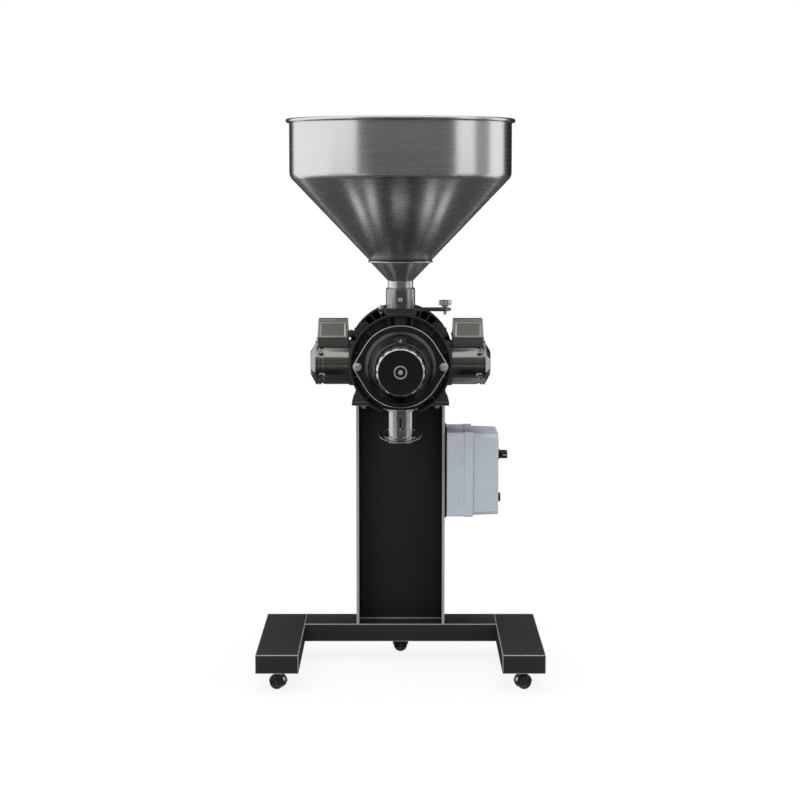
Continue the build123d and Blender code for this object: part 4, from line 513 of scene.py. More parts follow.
def hopper_adaptor():
    """Spigot and small cone, the rolled ring on its rim, and the rivets in the lap."""
    low, high = extent("hopper_adaptor")
    seam = high.z - SEAM_RING
    inner = SPIGOT_RADIUS - SHEET
    height = (SEAM_RADIUS - SPIGOT_RADIUS) / CONE_SLOPE
    spigot_top = seam - height
    cone = lathed([(inner, low.z), (SPIGOT_RADIUS, low.z), (SPIGOT_RADIUS, spigot_top, 5.0),
                   (SEAM_RADIUS, seam), (SEAM_RADIUS - CONE_SHEET, seam), (inner, spigot_top + 0.8, 4.0)],
                  FEED_CENTRE, "Z")
    ring = spun(arc((SEAM_RADIUS + 0.6 * SEAM_RING, seam), SEAM_RING, 0.0, 345.0, 15.0), FEED_CENTRE, "Z")
    piece(joined(cone, ring), "hopper_socket", "adaptor_steel", "hopper_adaptor", sharp=SHEET_SHARP)
    lap = RIVET_HEIGHT * height
    radius = SPIGOT_RADIUS + lap * CONE_SLOPE
    heads = []
    for bearing in RIVET_BEARINGS:
        turn = math.radians(bearing)
        out = Vector((math.sin(turn), -math.cos(turn), 0.0))
        place = out * radius + Vector((0.0, FEED_Y, spigot_top + lap))
        heads.append(rivet(place, out - 0.95 * UP, 2.2, 0.9))
    piece(joined(*heads), "hopper_rivets", "adaptor_steel")


def feed_tube():
    """Turned tube over the gate that the spigot stands in, its notches, screw and the gate's clamp bolt."""
    low, high = extent("feed_tube")
    outer = high.x
    bore = SPIGOT_RADIUS + 0.15
    ledge = high.z - 34.0
    tube = lathed([(27.0, low.z), (outer, low.z, 0.6), (outer, high.z - 4.0, 1.0), (outer - 4.0, high.z, 0.8),
                   (bore, high.z), (bore, ledge), (bore - SHEET, ledge)], FEED_CENTRE, "Z")
    front = FEED_Y - outer
    half_notch = 1.5
    notches = [block((x - half_notch, front, low.z + 4.0), (x + half_notch, front + 30.0, low.z + 11.0))
               for x in (-33.0, 33.0)]
    piece(carved(tube, *notches), "feed_pipe", "feed_black", "feed_tube")
    screw_head = front - 3.0
    screw = lathed([(0.0, front + 2.0), (6.5, front + 2.0), (6.5, screw_head, 2.4), (2.4, screw_head, 0.4),
                    (2.4, front - 1.4), (0.0, front - 1.4)], (0.0, 0.0, low.z + 25.0), "Y", 32)
    ear_top = low.z - 4.0
    clamp = (-55.0, FEED_Y, 0.0)
    bolt = joined(hexagon(7.5, ear_top, ear_top + 10.5, clamp, 1.0),
                  rod(6.0, "Z", ear_top + 9.5, ear_top + 12.0, clamp, 1.2, 24),
                  rod(4.0, "Z", ear_top - 12.0, ear_top + 1.0, clamp, 0.6, 24))
    piece(joined(screw, bolt), "feed_screws", "fastener_steel")


def scalloped(radius, count, bite, reach, start=0.0):
    """Round outline about the origin, with a hollow of radius bite between each two lobes."""
    half = math.degrees(math.acos((radius ** 2 + reach ** 2 - bite ** 2) / (2 * radius * reach)))
    swing = math.degrees(math.acos((bite ** 2 + reach ** 2 - radius ** 2) / (2 * bite * reach)))
    pitch = 360.0 / count
    points = []
    for i in range(count):
        middle = start + pitch * i
        hollow = (reach * math.cos(math.radians(middle)), reach * math.sin(math.radians(middle)))
        points += arc((0.0, 0.0), radius, middle - pitch + half, middle - half, 3.0)
        points += arc(hollow, bite, middle + 180.0 + swing, middle + 180.0 - swing, 10.0)[1:-1]
    return points


def gate():
    """Gate block, slide bar and lobed thumb knob."""
    # The block's bevels take the lighter grey: a painted highlight
    piece(from_node("gate_block", 1.3, finish=1), "gate_body", "gate_dark", "gate_block", edges="edge_bare")
    piece(from_node("gate_slide", 0.9), "gate_bar", "slide_steel", "gate_slide", body="gate_slide")
    low, high = extent("gate_thumb_knob")
    middle = ((low + high) / 2).x
    centre = (middle, FEED_Y, 0.0)
    radius, lobes, hollow = 19.0, 7, 6.0
    bottom = high.z - 14.0
    outline = scalloped(radius, lobes, hollow, radius + 3.5, 180.0 / lobes)
    head = slab([(x + middle, y + FEED_Y) for x, y in outline], "Z", bottom, high.z)
    cap = rod(11.0, "Z", high.z - 1.0, high.z, centre, 0.6)
    shank, collar = 4.6, 9.6
    stem = lathed([(0.0, low.z), (shank, low.z, 0.8), (shank, low.z + 19.7), (collar, low.z + 20.0, 0.6),
                   (collar, bottom - 3.0, 1.0), (11.5, bottom), (0.0, bottom + 1.0)], centre, "Z", 40)
    piece(joined(soften(head, 1.6, 3, 50.0), cap, stem), "thumb_knob", "knob_metal", "gate_thumb_knob",
          body="gate_thumb_knob")


# Front of the head

COVER_RADIUS = 119.0
LUG_RADIUS = 13.0
LUG_OUT = 123.6
COVER_PLATE = 12.0
COVER_BORE = 12.05
ROOM_RADIUS = 82.0
ROOM_NOSE = 64.0
FOOT_THICKNESS = 9.0
FOOT_BOLTS_X = 109.0
FOOT_BOLTS_Y = 45.0
NUT = 10.2
NUT_HEIGHT = 7.8


def diamond():
    """Round plate with a tangent lug on each side, drawn about the main axis."""
    turn = math.degrees(math.acos((COVER_RADIUS - LUG_RADIUS) / LUG_OUT))
    points = [*arc((LUG_OUT, 0.0), LUG_RADIUS, -turn, turn),
              *arc((0.0, 0.0), COVER_RADIUS, turn, 180.0 - turn, 3.0),
              *arc((-LUG_OUT, 0.0), LUG_RADIUS, 180.0 - turn, 180.0 + turn),
              *arc((0.0, 0.0), COVER_RADIUS, 180.0 + turn, 360.0 - turn, 3.0)]
    return [(x, z + AXIS_Z) for x, z in points]


def front_cover():
    """Cover plate with a painted highlight on its bevelled edge, raised ring, hollow cone and nose, and the
    index mark.
    """
    low, high = extent("front_cover")
    back = high.y
    plate = back - COVER_PLATE
    ring = plate - 8.0
    nose = low.y
    wall = nose + 12.0

    def rim_edge(edge):
        """Whether an edge is on the outline of the plate's front."""
        return all(vert.co.y < plate + 1.0 and math.hypot(vert.co.x, vert.co.z - AXIS_Z) > ROOM_RADIUS + 5.0
                   for vert in edge.verts)

    room = spun([(0.0, wall), (ROOM_NOSE, wall), (ROOM_RADIUS, plate), (ROOM_RADIUS, back + 1.0),
                 (0.0, back + 1.0)], HEAD_CENTRE, "Y")
    # The bevels round the plate's front take the brighter polished finish: a painted highlight
    body = soften(carved(slab(diamond(), "Y", plate, back), room), 2.0, 3, 40.0, rim_edge, 1)
    piece(body, "cover_plate", "cover_grey", "front_cover", edges="edge_bright")
    cone = lathed([(COVER_BORE, nose), (73.0, nose, 1.5), (76.5, nose + 3.5, 2.0), (93.0, ring - 2.0, 3.0),
                   (95.5, ring, 1.0), (102.5, plate - 3.2, 1.6), (104.0, plate + 0.5), (104.0, back),
                   (ROOM_RADIUS, back), (ROOM_RADIUS, plate), (ROOM_NOSE, wall), (COVER_BORE, wall)],
                  HEAD_CENTRE, "Y")
    piece(cone, "cover_cone", "cover_grey")
    tip = nose + 3.5
    base = AXIS_Z + 76.0
    mark = slab([(-4.6, base), (4.6, base), (0.0, AXIS_Z + 86.0)], "Y", tip - 1.0, tip + 12.0)
    piece(soften(mark, 0.5), "index_mark", "fastener_steel")


def head_fasteners():
    """Cover bolts on washers, foot bolts, guide pins of the fixed burr's plate and the spout's pin."""
    seat = extent("front_cover")[1].y - COVER_PLATE
    face, tip = seat - 2.0, seat - 9.0
    washer = [(4.0, seat), (12.0, seat, 0.4), (12.0, face, 0.6), (4.0, face)]
    bolt = [(0.0, seat + 20.0), (3.5, seat + 20.0), (3.5, face), (8.6, face, 0.4), (8.0, seat - 4.0, 0.5),
            (7.2, tip, 1.4), (3.2, tip, 0.3), (3.2, seat - 6.0), (0.0, seat - 6.0)]
    shapes = []
    for side in (-1, 1):
        shapes += [lathed(profile, (side * LUG_OUT, 0.0, AXIS_Z), "Y", 40) for profile in (washer, bolt)]
        shapes.append(rod(4.0, "Y", -141.0, -58.8, (side * 50.0, 0.0, AXIS_Z)))
    shapes.append(rod(2.6, "Y", -79.0, -72.5, (0.0, 0.0, 704.5), 0.5, 24))
    plate_low, plate_high = extent("column_top_plate")
    foot_top = plate_high.z + FOOT_THICKNESS
    for x in (-FOOT_BOLTS_X, FOOT_BOLTS_X):
        for y in (-FOOT_BOLTS_Y, FOOT_BOLTS_Y):
            spot = (x, (plate_low.y + plate_high.y) / 2 + y, 0.0)
            shapes += [hexagon(NUT, foot_top, foot_top + NUT_HEIGHT, spot),
                       hexagon(NUT, plate_low.z - NUT_HEIGHT, plate_low.z, spot),
                       rod(6.0, "Z", plate_low.z - 10.2, foot_top + 1.0, spot)]
    piece(joined(*shapes), "head_bolts", "fastener_steel", "head_fasteners")


def adjusting_knob():
    """Fluted aluminium knob, its plain front disc, and the screw in the recess."""
    low, high = extent("adjusting_knob")
    front = low.y
    outer = 68.5
    recess = 17.4
    recess_floor = front + 3.4
    outline = scalloped(outer, 16, 9.0, outer + 5.8)
    rings = [(high.y, 66.5), (high.y - 1.5, outer), (front + 9.5, outer), (front + 6.5, 67.9),
             (front + 4.0, 66.7), (front + 2.0, 65.0), (front + 0.9, 63.4), (front + 0.6, 62.4),
             (front + 0.6, recess), (recess_floor, recess)]
    shape = bmesh.new()
    loops = []
    for y, limit in rings:
        ring = []
        for x, z in outline:
            near = min(1.0, limit / math.hypot(x, z))
            ring.append(shape.verts.new((x * near, y, AXIS_Z + z * near)))
        loops.append([shape.edges.new((ring[i - 1], ring[i])) for i in range(len(ring))])
        if y in (high.y, recess_floor):
            shape.faces.new(ring)
    for one, two in zip(loops, loops[1:]):
        bmesh.ops.bridge_loops(shape, edges=one + two)
    piece(solid(shape), "knob_grip", "knob_metal", "adjusting_knob", body="adjuster", sharp=36.0)
    disc = lathed([(18.6, front + 1.5), (18.6, front, 0.4), (62.3, front, 0.5), (62.3, front + 1.5)],
                  HEAD_CENTRE, "Y")
    floor_disc = rod(17.3, "Y", front + 2.6, front + 3.6, HEAD_CENTRE)
    piece(joined(disc, floor_disc), "knob_face", "cover_grey", body="adjuster")
    behind = front + 2.8
    ring = lathed([(15.2, behind), (15.2, front - 0.1, 1.4), (19.2, front - 0.1, 1.9), (19.2, behind)],
                  HEAD_CENTRE, "Y", 64)
    screw = lathed([(0.0, behind), (6.5, behind), (6.5, front + 0.2, 1.2), (2.9, front + 0.2, 0.5),
                    (2.9, front + 2.2), (0.0, front + 2.2)], HEAD_CENTRE, "Y", 32)
    piece(joined(ring, screw), "knob_screw", "fastener_steel", body="adjuster")


# Castings keep their CAD form with softened edges: the edge's width, the finish, and the finish of the
# bevels, a lighter grey that paints a highlight along them

CASTINGS = {
    "bell_ring": (1.1, "head_dark", "edge_bare"),
    "housing_foot": (1.1, "head_dark", "edge_bare"),
    "grinding_chamber": (0.8, "head_dark", None),
    "feed_neck": (0.9, "head_dark", None),
    "outlet_chute": (0.8, "head_dark", None),
    "barrel_fins": (0.5, "head_dark", None),
    "barrel_band": (0.5, "head_dark", None),
    "fan_cover": (0.8, "cowl_black", None),
    "cable_glands": (0.6, "gland_black", None),
    "column_top_plate": (1.0, "frame_black", "edge_bare"),
    "control_box_rails": (0.8, "panel_black", None),
}


def castings():
    """Housing castings, each with its cast or machined edges broken."""
    for node, (width, slot, highlight_finish) in CASTINGS.items():
        # Where a bevel finish is named, the bevels take it: a painted highlight
        piece(from_node(node, width, finish=1 if highlight_finish else -1), node + "_dressed", slot, node, edges=highlight_finish)


# Side motors, drawn on the right

SHELL_RADIUS = 63.5
SHELL_STEP = 61.0
SHELL_BORE = 58.5
MOTOR_HUB = 20.0
BAND_RADIUS = 64.5
GROOVE_RADIUS = 62.3
MOTOR_START, MOTOR_END, BAND_END, MOTOR_TIP = 150.0, 233.0, 248.0, 263.0
LUG_HEIGHT = 31.0


def motor(name, side):
    """Motor shell with its stator, the grooved end band, the faceted cap, and the bolts in its lugs."""
    lip = MOTOR_END - 8.0
    wall = MOTOR_START + 12.0
    shell = lathed([(MOTOR_HUB, MOTOR_START), (SHELL_RADIUS, MOTOR_START, 0.8), (SHELL_RADIUS, lip, 0.8),
                    (SHELL_STEP, MOTOR_END - 7.0, 0.5), (SHELL_STEP, MOTOR_END), (SHELL_BORE, MOTOR_END),
                    (SHELL_BORE, wall), (MOTOR_HUB, wall)], MOTOR_CENTRE, "X")
    stator = spun([(41.0, 174.0), (58.4, 174.0), (58.4, 220.0), (41.0, 220.0)], MOTOR_CENTRE, "X")
    piece(mirrored(joined(shell, stator), side), "motor_shell_" + name, "motor_metal", "motor_shells")

    inside = MOTOR_END + 12.0
    band = lathed([(MOTOR_HUB, MOTOR_END), (BAND_RADIUS, MOTOR_END, 1.2), (BAND_RADIUS, MOTOR_END + 4.5, 0.8),
                   (GROOVE_RADIUS, MOTOR_END + 5.6, 0.6), (GROOVE_RADIUS, MOTOR_END + 8.0, 0.6),
                   (BAND_RADIUS, MOTOR_END + 9.2, 0.8), (BAND_RADIUS, BAND_END, 1.2), (0.0, BAND_END),
                   (0.0, inside), (MOTOR_HUB, inside)], MOTOR_CENTRE, "X")
    face = 33.5 / math.cos(math.pi / 8)
    corners = [math.radians(22.5 + 45.0 * i) for i in range(8)]
    facets = slab([(MOTOR_Y + BAND_RADIUS * math.cos(turn), AXIS_Z + BAND_RADIUS * math.sin(turn))
                   for turn in corners], "X", BAND_END - 0.5, MOTOR_TIP)
    tapered(facets, "X", MOTOR_TIP - 1.0, MOTOR_CENTRE, (None, BAND_RADIUS, BAND_RADIUS), BAND_RADIUS - face)
    soften(facets, 2.0, 3, 15.0)
    lug_y = math.sqrt(SHELL_RADIUS ** 2 - LUG_HEIGHT ** 2)
    spots = [(0.0, MOTOR_Y + dy, AXIS_Z + dz) for dy in (-lug_y, lug_y) for dz in (-LUG_HEIGHT, LUG_HEIGHT)]
    lugs = [rod(5.5, "X", MOTOR_END - 9.0, MOTOR_END + 4.0, spot, 1.2, 32) for spot in spots]
    piece(mirrored(joined(band, facets, *lugs), side), "motor_cap_" + name, "motor_metal", "motor_end_caps",
          sharp=22.0)
    heads = [rod(4.0, "X", MOTOR_END - 13.0, lip, spot, 0.8, 24) for spot in spots]
    piece(mirrored(joined(*heads), side), "motor_bolts_" + name, "fastener_steel")


def terminal_box(name, side):
    """Terminal box saddled on the motor, and its drafted lid with a sunk panel in front."""
    low_x, high_x = 151.5, 242.6
    front, back = MOTOR_Y - 43.0, MOTOR_Y + 43.0
    seam, top = AXIS_Z + 76.5, AXIS_Z + 128.5
    saddle = slab(rectangle((low_x, front), (high_x, back), 3.0), "Z", AXIS_Z + 31.75, seam - 3.0)
    saddle = carved(soften(saddle, 0.6), rod(64.65, "X", 140.0, 260.0, MOTOR_CENTRE))
    proud = 1.5
    rim = board((low_x - proud, front - proud), (high_x + proud, back + proud), 5.0,
                "Z", seam - 4.0, seam, 1.1)
    piece(mirrored(joined(saddle, rim), side), "terminal_box_" + name, "motor_metal", "terminal_boxes")

    lid = slab(rectangle((low_x, front), (high_x, back), 5.0), "Z", seam + 0.4, top)
    middle = Vector(((low_x + high_x) / 2, MOTOR_Y, 0.0))
    pull = 2 * (top - seam) * math.tan(math.radians(3.0))
    tapered(lid, "Z", top - 1.0, middle, (high_x - low_x, back - front, None), pull)
    margin, slope, depth = 5.5, 6.0, 4.0
    panel_low = seam + 4.0
    cutter = block((low_x + margin, front - 2.0, panel_low), (high_x - margin, front + depth, top - margin))
    for vert in cutter.verts:
        if vert.co.y > front:
            vert.co.x += slope if vert.co.x < middle.x else -slope
            if vert.co.z > panel_low + 6.0:
                vert.co.z -= 0.6 * slope
    # The lid's bevels, and below them the slanted walls of its sunk panel, take the brighter polished finish:
    # a painted highlight
    lid = soften(carved(lid, cutter), 1.1, 3, 20.0, finish=1)
    lid.normal_update()
    for face in lid.faces:
        if face.normal.y < -0.4 and abs(face.normal.x) > 0.4:
            face.material_index = 1
    piece(mirrored(lid, side), "terminal_lid_" + name, "terminal_metal", "terminal_lids", sharp=22.0,
          edges="edge_bright")


# Spout

PIPE_RADIUS = 33.0
SLEEVE_RADIUS = 35.6
SLEEVE_BORE = 33.3
SLEEVE_RIM = 49.5
FLANGE_THICKNESS = 2.5
SCREW_CIRCLE = 45.0
SCREW_BEARINGS = (-127.0, -90.0, -53.0, 53.0, 90.0, 127.0)


def spout():
    """Flange with its screws, collar and tube of the spout."""
    low, high = extent("spout_tube")
    top = high.z
    under = top - FLANGE_THICKNESS
    piece(rod(50.0, "Z", under, top, SPOUT_CENTRE, 0.8, 96), "spout_flange", "head_dark")
    screws = []
    for bearing in SCREW_BEARINGS:
        turn = math.radians(bearing)
        spot = (SCREW_CIRCLE * math.sin(turn), SPOUT_Y - SCREW_CIRCLE * math.cos(turn), 0.0)
        screws.append(rod(3.2, "Z", top - 6.0, top - 2.0, spot, 0.8, 24))
    piece(joined(*screws), "spout_screws", "fastener_steel")
    collar = lathed([(PIPE_RADIUS, top - 9.2), (37.5, top - 8.6, 1.6), (37.5, under), (PIPE_RADIUS, under)],
                    SPOUT_CENTRE, "Z")
    piece(collar, "spout_collar", "spout_chrome")
    bore = PIPE_RADIUS - 2.0
    tube = lathed([(bore, low.z, 0.5), (PIPE_RADIUS, low.z, 0.5), (PIPE_RADIUS, under), (bore, under)],
                  SPOUT_CENTRE, "Z")
    # The pipe under the sleeve is near black so that the sleeve's slot reads dark: painted shade in the slot
    piece(tube, "spout_pipe", "switch_black", "spout_tube")


def sleeve():
    """Sliding sleeve with its L-shaped slot, rim, and the arm and pin of the bag ring."""
    low, high = extent("spout_sleeve")
    rim = low.z + 15.0
    rim_top = rim + 3.0
    body = lathed([(SLEEVE_BORE, low.z, 0.6), (SLEEVE_RADIUS, low.z, 0.6), (SLEEVE_RADIUS, rim - 0.2, 1.2),
                   (SLEEVE_RIM, rim, 1.2), (SLEEVE_RIM, rim_top, 1.2), (SLEEVE_RADIUS, rim + 3.2, 1.2),
                   (SLEEVE_RADIUS, high.z, 0.7), (SLEEVE_BORE, high.z, 0.7)], SPOUT_CENTRE, "Z", 120)
    half_slot, hook = 3.0, 7.0
    bottom, top = high.z - 52.0 + half_slot, high.z - 17.0 - half_slot
    slot = slab([*arc((0.0, top), half_slot, 180.0, 0.0, 20.0), (half_slot, bottom + half_slot),
                 *arc((hook, bottom), half_slot, 90.0, -90.0, 20.0),
                 *arc((0.0, bottom), half_slot, -90.0, -180.0, 20.0)], "Y", SPOUT_Y - 40.0, SPOUT_Y - 20.0)
    hinge = (0.0, SPOUT_Y + 68.0, low.z + 41.0)
    arm = block((-3.0, SPOUT_Y + 34.8, hinge[2] - 4.0), (3.0, hinge[1], hinge[2] + 4.0))
    knuckle = rod(5.5, "X", -3.0, 3.0, hinge, 0.6, 32)
    pin = rod(2.5, "X", -12.0, 12.0, hinge, 0.5, 24)
    slider = joined(carved(body, slot), soften(arm, 0.8), knuckle, pin)
    piece(slider, "spout_slider", "spout_chrome", "spout_sleeve", body="spout_sleeve", sharp=24.0)
    # The hoop's bevels take the brighter polished finish: a painted highlight
    piece(from_node("bag_ring", 1.5, 3, 1), "bag_hoop", "spout_chrome", "bag_ring", body="bag_ring",
          edges="edge_bright")


# Column and base

COLUMN_SIDE = 8.0
COLUMN_BACK = 3.0
PANEL = 3.0
# Width of the base's long bevels, which take a lighter grey: a painted highlight
HIGHLIGHT_EDGE_WIDTH = 2.2


def column():
    """Folded column, open to the front, with a painted highlight on its front edges, the recessed panel
    inside it and its sill.
    """
    low, high = extent("column_frame")
    inner = high.x - COLUMN_SIDE
    deep = high.y - COLUMN_BACK
    outline = rounded([(low.x, low.y, 0.5), (low.x + COLUMN_SIDE, low.y, 0.5),
                       (low.x + COLUMN_SIDE, deep, 1.5), (inner, deep, 1.5), (inner, low.y, 0.5),
                       (high.x, low.y, 0.5), (high.x, high.y, 5.0), (low.x, high.y, 5.0)])
    shell = piece(slab(outline, "Z", low.z, high.z), "column_shell", "frame_black", "column_frame")
    paint_front_highlight(shell, low.y * MILLIMETRE)
    front = extent("column_front_panel")[0].y
    panel = [soften(block((-inner, front, low.z), (inner, front + PANEL, high.z)), 0.6)]
    for x in (-inner, inner - PANEL):
        panel.append(soften(block((x, front, low.z), (x + PANEL, front + 12.0, high.z)), 0.6))
    piece(joined(*panel), "column_panel", "panel_black", "column_front_panel")
    sill = block((-inner, front - 3.0, low.z), (inner, front + 1.0, low.z + 3.6))
    # The sill's bevels take the lighter grey: a painted highlight
    piece(soften(sill, 1.7, 3, finish=1), "column_sill", "frame_black", edges="edge_bare")


def paint_front_highlight(made, front):
    """Gives the faces at the very front of a piece a lighter grey finish: a painted highlight."""
    made.data.materials.append(FINISHES["edge_bare"])
    for face in made.data.polygons:
        if face.normal.y < -0.6 and face.center.y < front + MILLIMETRE:
            face.material_index = 1


def along(axis):
    """A test for long edges that run along an axis."""
    return lambda edge: abs((edge.verts[0].co - edge.verts[1].co).dot(AXES[axis])) > 20.0


def base():
    """Two rectangular tube legs with welded end plates, and the crossbar between them."""
    low, high = extent("base_legs")
    plates_low = extent("leg_end_plates")[0]
    thickness = low.y - plates_low.y
    bar_low, bar_high = extent("base_crossbar")
    legs = []
    ends = []
    # Bevels along the legs and crossbar and round the end plates take the lighter grey: a painted highlight
    for side in (-1, 1):
        section = [(side * x, z) for x, z in rectangle((bar_high.x, low.z), (high.x, high.z))]
        legs.append(soften(slab(section, "Y", low.y, high.y), HIGHLIGHT_EDGE_WIDTH, 3, 60.0, along("Y"), 1))
        for y in (plates_low.y, high.y):
            ends.append(soften(slab(section, "Y", y, y + thickness), 2.0, 3, 60.0, finish=1))
    bar = slab(rectangle((bar_low.y, low.z), (bar_high.y, bar_high.z)), "X", bar_low.x, bar_high.x)
    soften(bar, HIGHLIGHT_EDGE_WIDTH, 3, 60.0, along("X"), 1)
    for name, shape, node in (("base_tubes", joined(*legs), "base_legs"),
                              ("base_ends", joined(*ends), "leg_end_plates"),
                              ("base_bar", bar, "base_crossbar")):
        piece(shape, name, "frame_black", node, edges="edge_bare")


# Control box

BOX_DEPTH = 210.0
BAND_X = 186.0
BAND_PROUD = 1.4
KNOCK_OUTS = (9.5, 14.0, 9.5, 14.0, 9.5)
KNOCK_PITCH = 40.5
KNOCK_LINE = 1.6


def control_box():
    """Plastic box: base with its proud band and knock-outs, and the drafted lid with its screws."""
    low, high = extent("control_box_base")
    y0, y1 = high.y - BOX_DEPTH, high.y
    z0, z1 = low.z, high.z
    body = board((y0, z0), (y1, z1), 6.0, "X", low.x, BAND_X + 1.0, 0.8, 2)
    rings = []
    for i, radius in enumerate(KNOCK_OUTS):
        centre = (low.x + 28.0, 0.0, (z0 + z1) / 2 + KNOCK_PITCH * (2 - i))
        line = radius - KNOCK_LINE
        rings.append(spun([(line, y0 - 1.0), (radius, y0 - 1.0), (radius, y0 + 1.0), (line, y0 + 1.0)],
                          centre, "Y", 48))
    band = board((y0 - BAND_PROUD, z0 - BAND_PROUD), (y1 + BAND_PROUD, z1 + BAND_PROUD), 7.0,
                 "X", BAND_X, high.x, 1.0)
    piece(joined(carved(body, *rings), band), "box_base", "box_plastic", "control_box_base")

    low, high = extent("control_box_lid")
    middle = (low + high) / 2
    size = high - low
    bevel = 10.5
    corners = [(low.y + bevel, low.z), (high.y - bevel, low.z), (high.y, low.z + bevel),
               (high.y, high.z - bevel), (high.y - bevel, high.z), (low.y + bevel, high.z),
               (low.y, high.z - bevel), (low.y, low.z + bevel)]
    lid = slab(rounded([(y, z, 1.5) for y, z in corners]), "X", low.x, high.x)
    pull = 2 * size.x * math.tan(math.radians(2.0))
    tapered(lid, "X", high.x - 1.0, (0.0, middle.y, middle.z), (None, size.y, size.z), pull)
    soften(lid, 2.2, 3, 60.0)
    wells = []
    heads = []
    inset = 18.0
    for y in (low.y + inset, high.y - inset):
        for z in (low.z + inset, high.z - inset):
            spot = (0.0, y, z)
            wells.append(rod(6.0, "X", high.x - 3.0, high.x + 1.0, spot, 0.0, 32))
            drive = block((high.x - 1.4, y - 4.0, z - 0.6), (high.x + 1.0, y + 4.0, z + 0.6))
            heads.append(carved(rod(4.6, "X", high.x - 3.2, high.x - 0.6, spot, 0.6, 32), drive))
    piece(carved(lid, *wells), "box_lid", "box_plastic", "control_box_lid")
    piece(joined(*heads), "box_lid_screws", "box_plastic")


def main_switch():
    """Rotary main switch: its plate, and its handle with a pale pointer."""
    low, high = extent("switch_plate")
    plate = board((low.y, low.z), (high.y, high.z), 4.0, "X", low.x, high.x, 1.0)
    piece(plate, "switch_plate_face", "switch_black", "switch_plate")
    low, high = extent("switch_handle")
    hub = high.x - 26.0
    y, z = ((low + high) / 2)[1:]
    half_long, half_wide = 23.0, 10.0
    grip = board((y - half_long, z - half_wide), (y + half_long, z + half_wide), 4.0,
                 "X", hub + 6.0, high.x, 1.6)
    waist = lathed([(0.0, low.x), (5.0, low.x), (5.0, hub), (15.0, hub, 0.6), (15.0, hub + 3.0, 1.0),
                    (12.0, hub + 5.0, 1.0), (12.0, hub + 7.0), (0.0, hub + 7.0)], (0.0, y, z), "X", 48)
    piece(joined(grip, waist), "switch_grip", "switch_black", "switch_handle", body="switch_handle")
    pointer = block((high.x - 14.0, y - half_long - 0.6, z - 1.2), (high.x - 1.5, y - 18.0, z + 1.2))
    piece(soften(pointer, 0.4), "switch_pointer", "box_plastic", body="switch_handle")


def push_button():
    """Push button in its collar."""
    low, high = extent("button_collar")
    centre = (0.0, *((low + high) / 2)[1:])
    collar = lathed([(13.3, low.x), (15.5, low.x), (15.5, high.x, 1.2), (13.3, high.x, 0.5)],
                    centre, "X", 48)
    piece(collar, "button_ring", "switch_black", "button_collar")
    low, high = extent("push_button")
    button = lathed([(0.0, low.x), (15.0, low.x), (15.0, low.x + 7.5), (13.0, low.x + 7.8),
                     (13.0, high.x - 0.8, 1.8), (9.0, high.x, 3.0), (0.0, high.x)], centre, "X", 48)
    piece(button, "button_cap", "button_black", "push_button", body="push_button")


# Casters

WHEEL_RADIUS = 20.0
WHEEL_BORE = 3.05
WHEEL_INNER, WHEEL_OUTER = 4.5, 17.5
WHEEL_Z = 20.0
FRONT_STEM = (334.0, -295.0)
REAR_STEM = (-9.0, 166.0)
FRONT_TURN = 20.0


def caster(name, side, turn, stem):
    """Twin-wheel caster, drawn about its stem: wheels, and hood, web, neck and stem."""
    place = Matrix.Translation((*stem, 0.0)) @ Matrix.Rotation(math.radians(turn), 4, "Z")
    hub = (side * 9.0, 0.0, WHEEL_Z)
    wheels = []
    for way in (-1, 1):
        inner, outer = way * WHEEL_INNER, way * WHEEL_OUTER
        dish = outer - way * 1.4
        wheels.append(lathed([(WHEEL_BORE, inner), (WHEEL_RADIUS, inner, 1.5), (WHEEL_RADIUS, outer, 3.5),
                              (15.0, outer, 0.8), (14.0, dish, 0.8), (6.5, dish, 0.8), (5.5, outer, 0.6),
                              (WHEEL_BORE, outer)], hub, "Y", 64))
    wheel = joined(*wheels)
    bmesh.ops.transform(wheel, matrix=place, verts=wheel.verts)
    node = "caster_wheel_" + name
    piece(wheel, "wheels_" + name, "wheel_black", node, body=node)

    axle_spot = (hub[0], hub[2])
    hood = slab([*arc(axle_spot, 23.5, 0.0, 180.0), *arc(axle_spot, 21.5, 180.0, 0.0)], "Y", -12.0, 12.0)
    web = slab([*arc(axle_spot, 22.0, 0.0, 180.0), *arc(axle_spot, 8.0, 180.0, 360.0)][:-1], "Y", -4.2, 4.2)
    seat = 50.7
    neck = lathed([(0.0, 38.0), (8.0, 38.0), (8.0, seat, 2.0), (11.0, seat, 0.6), (11.0, seat + 5.0, 0.8),
                   (5.0, seat + 5.0), (5.0, 92.0), (0.0, 92.0)], (0.0, 0.0, 0.0), "Z", 48)
    fork = joined(soften(hood, 0.8, 2, 50.0), web, neck, rod(3.0, "Y", -16.0, 16.0, hub, 0.6, 24))
    bmesh.ops.transform(fork, matrix=place, verts=fork.verts)
    node = "caster_fork_" + name
    piece(fork, "hood_" + name, "caster_chrome", node, body=node)


def casters():
    """Two casters at the front, one under the middle of the crossbar."""
    for name, side in (("front_left", -1), ("front_right", 1)):
        caster(name, side, side * FRONT_TURN, (side * FRONT_STEM[0], FRONT_STEM[1]))
    caster("rear", 1, 0.0, REAR_STEM)


def build():
    """Every piece that the scene makes itself."""
    for make in (hopper, hopper_adaptor, feed_tube, gate, front_cover, head_fasteners, adjusting_knob,
                 castings):
        make()
    for name, side in (("left", -1), ("right", 1)):
        motor(name, side)
        terminal_box(name, side)
    for make in (spout, sleeve, column, base, control_box, main_switch, push_button, casters):
        make()


# Studio, in metres and degrees

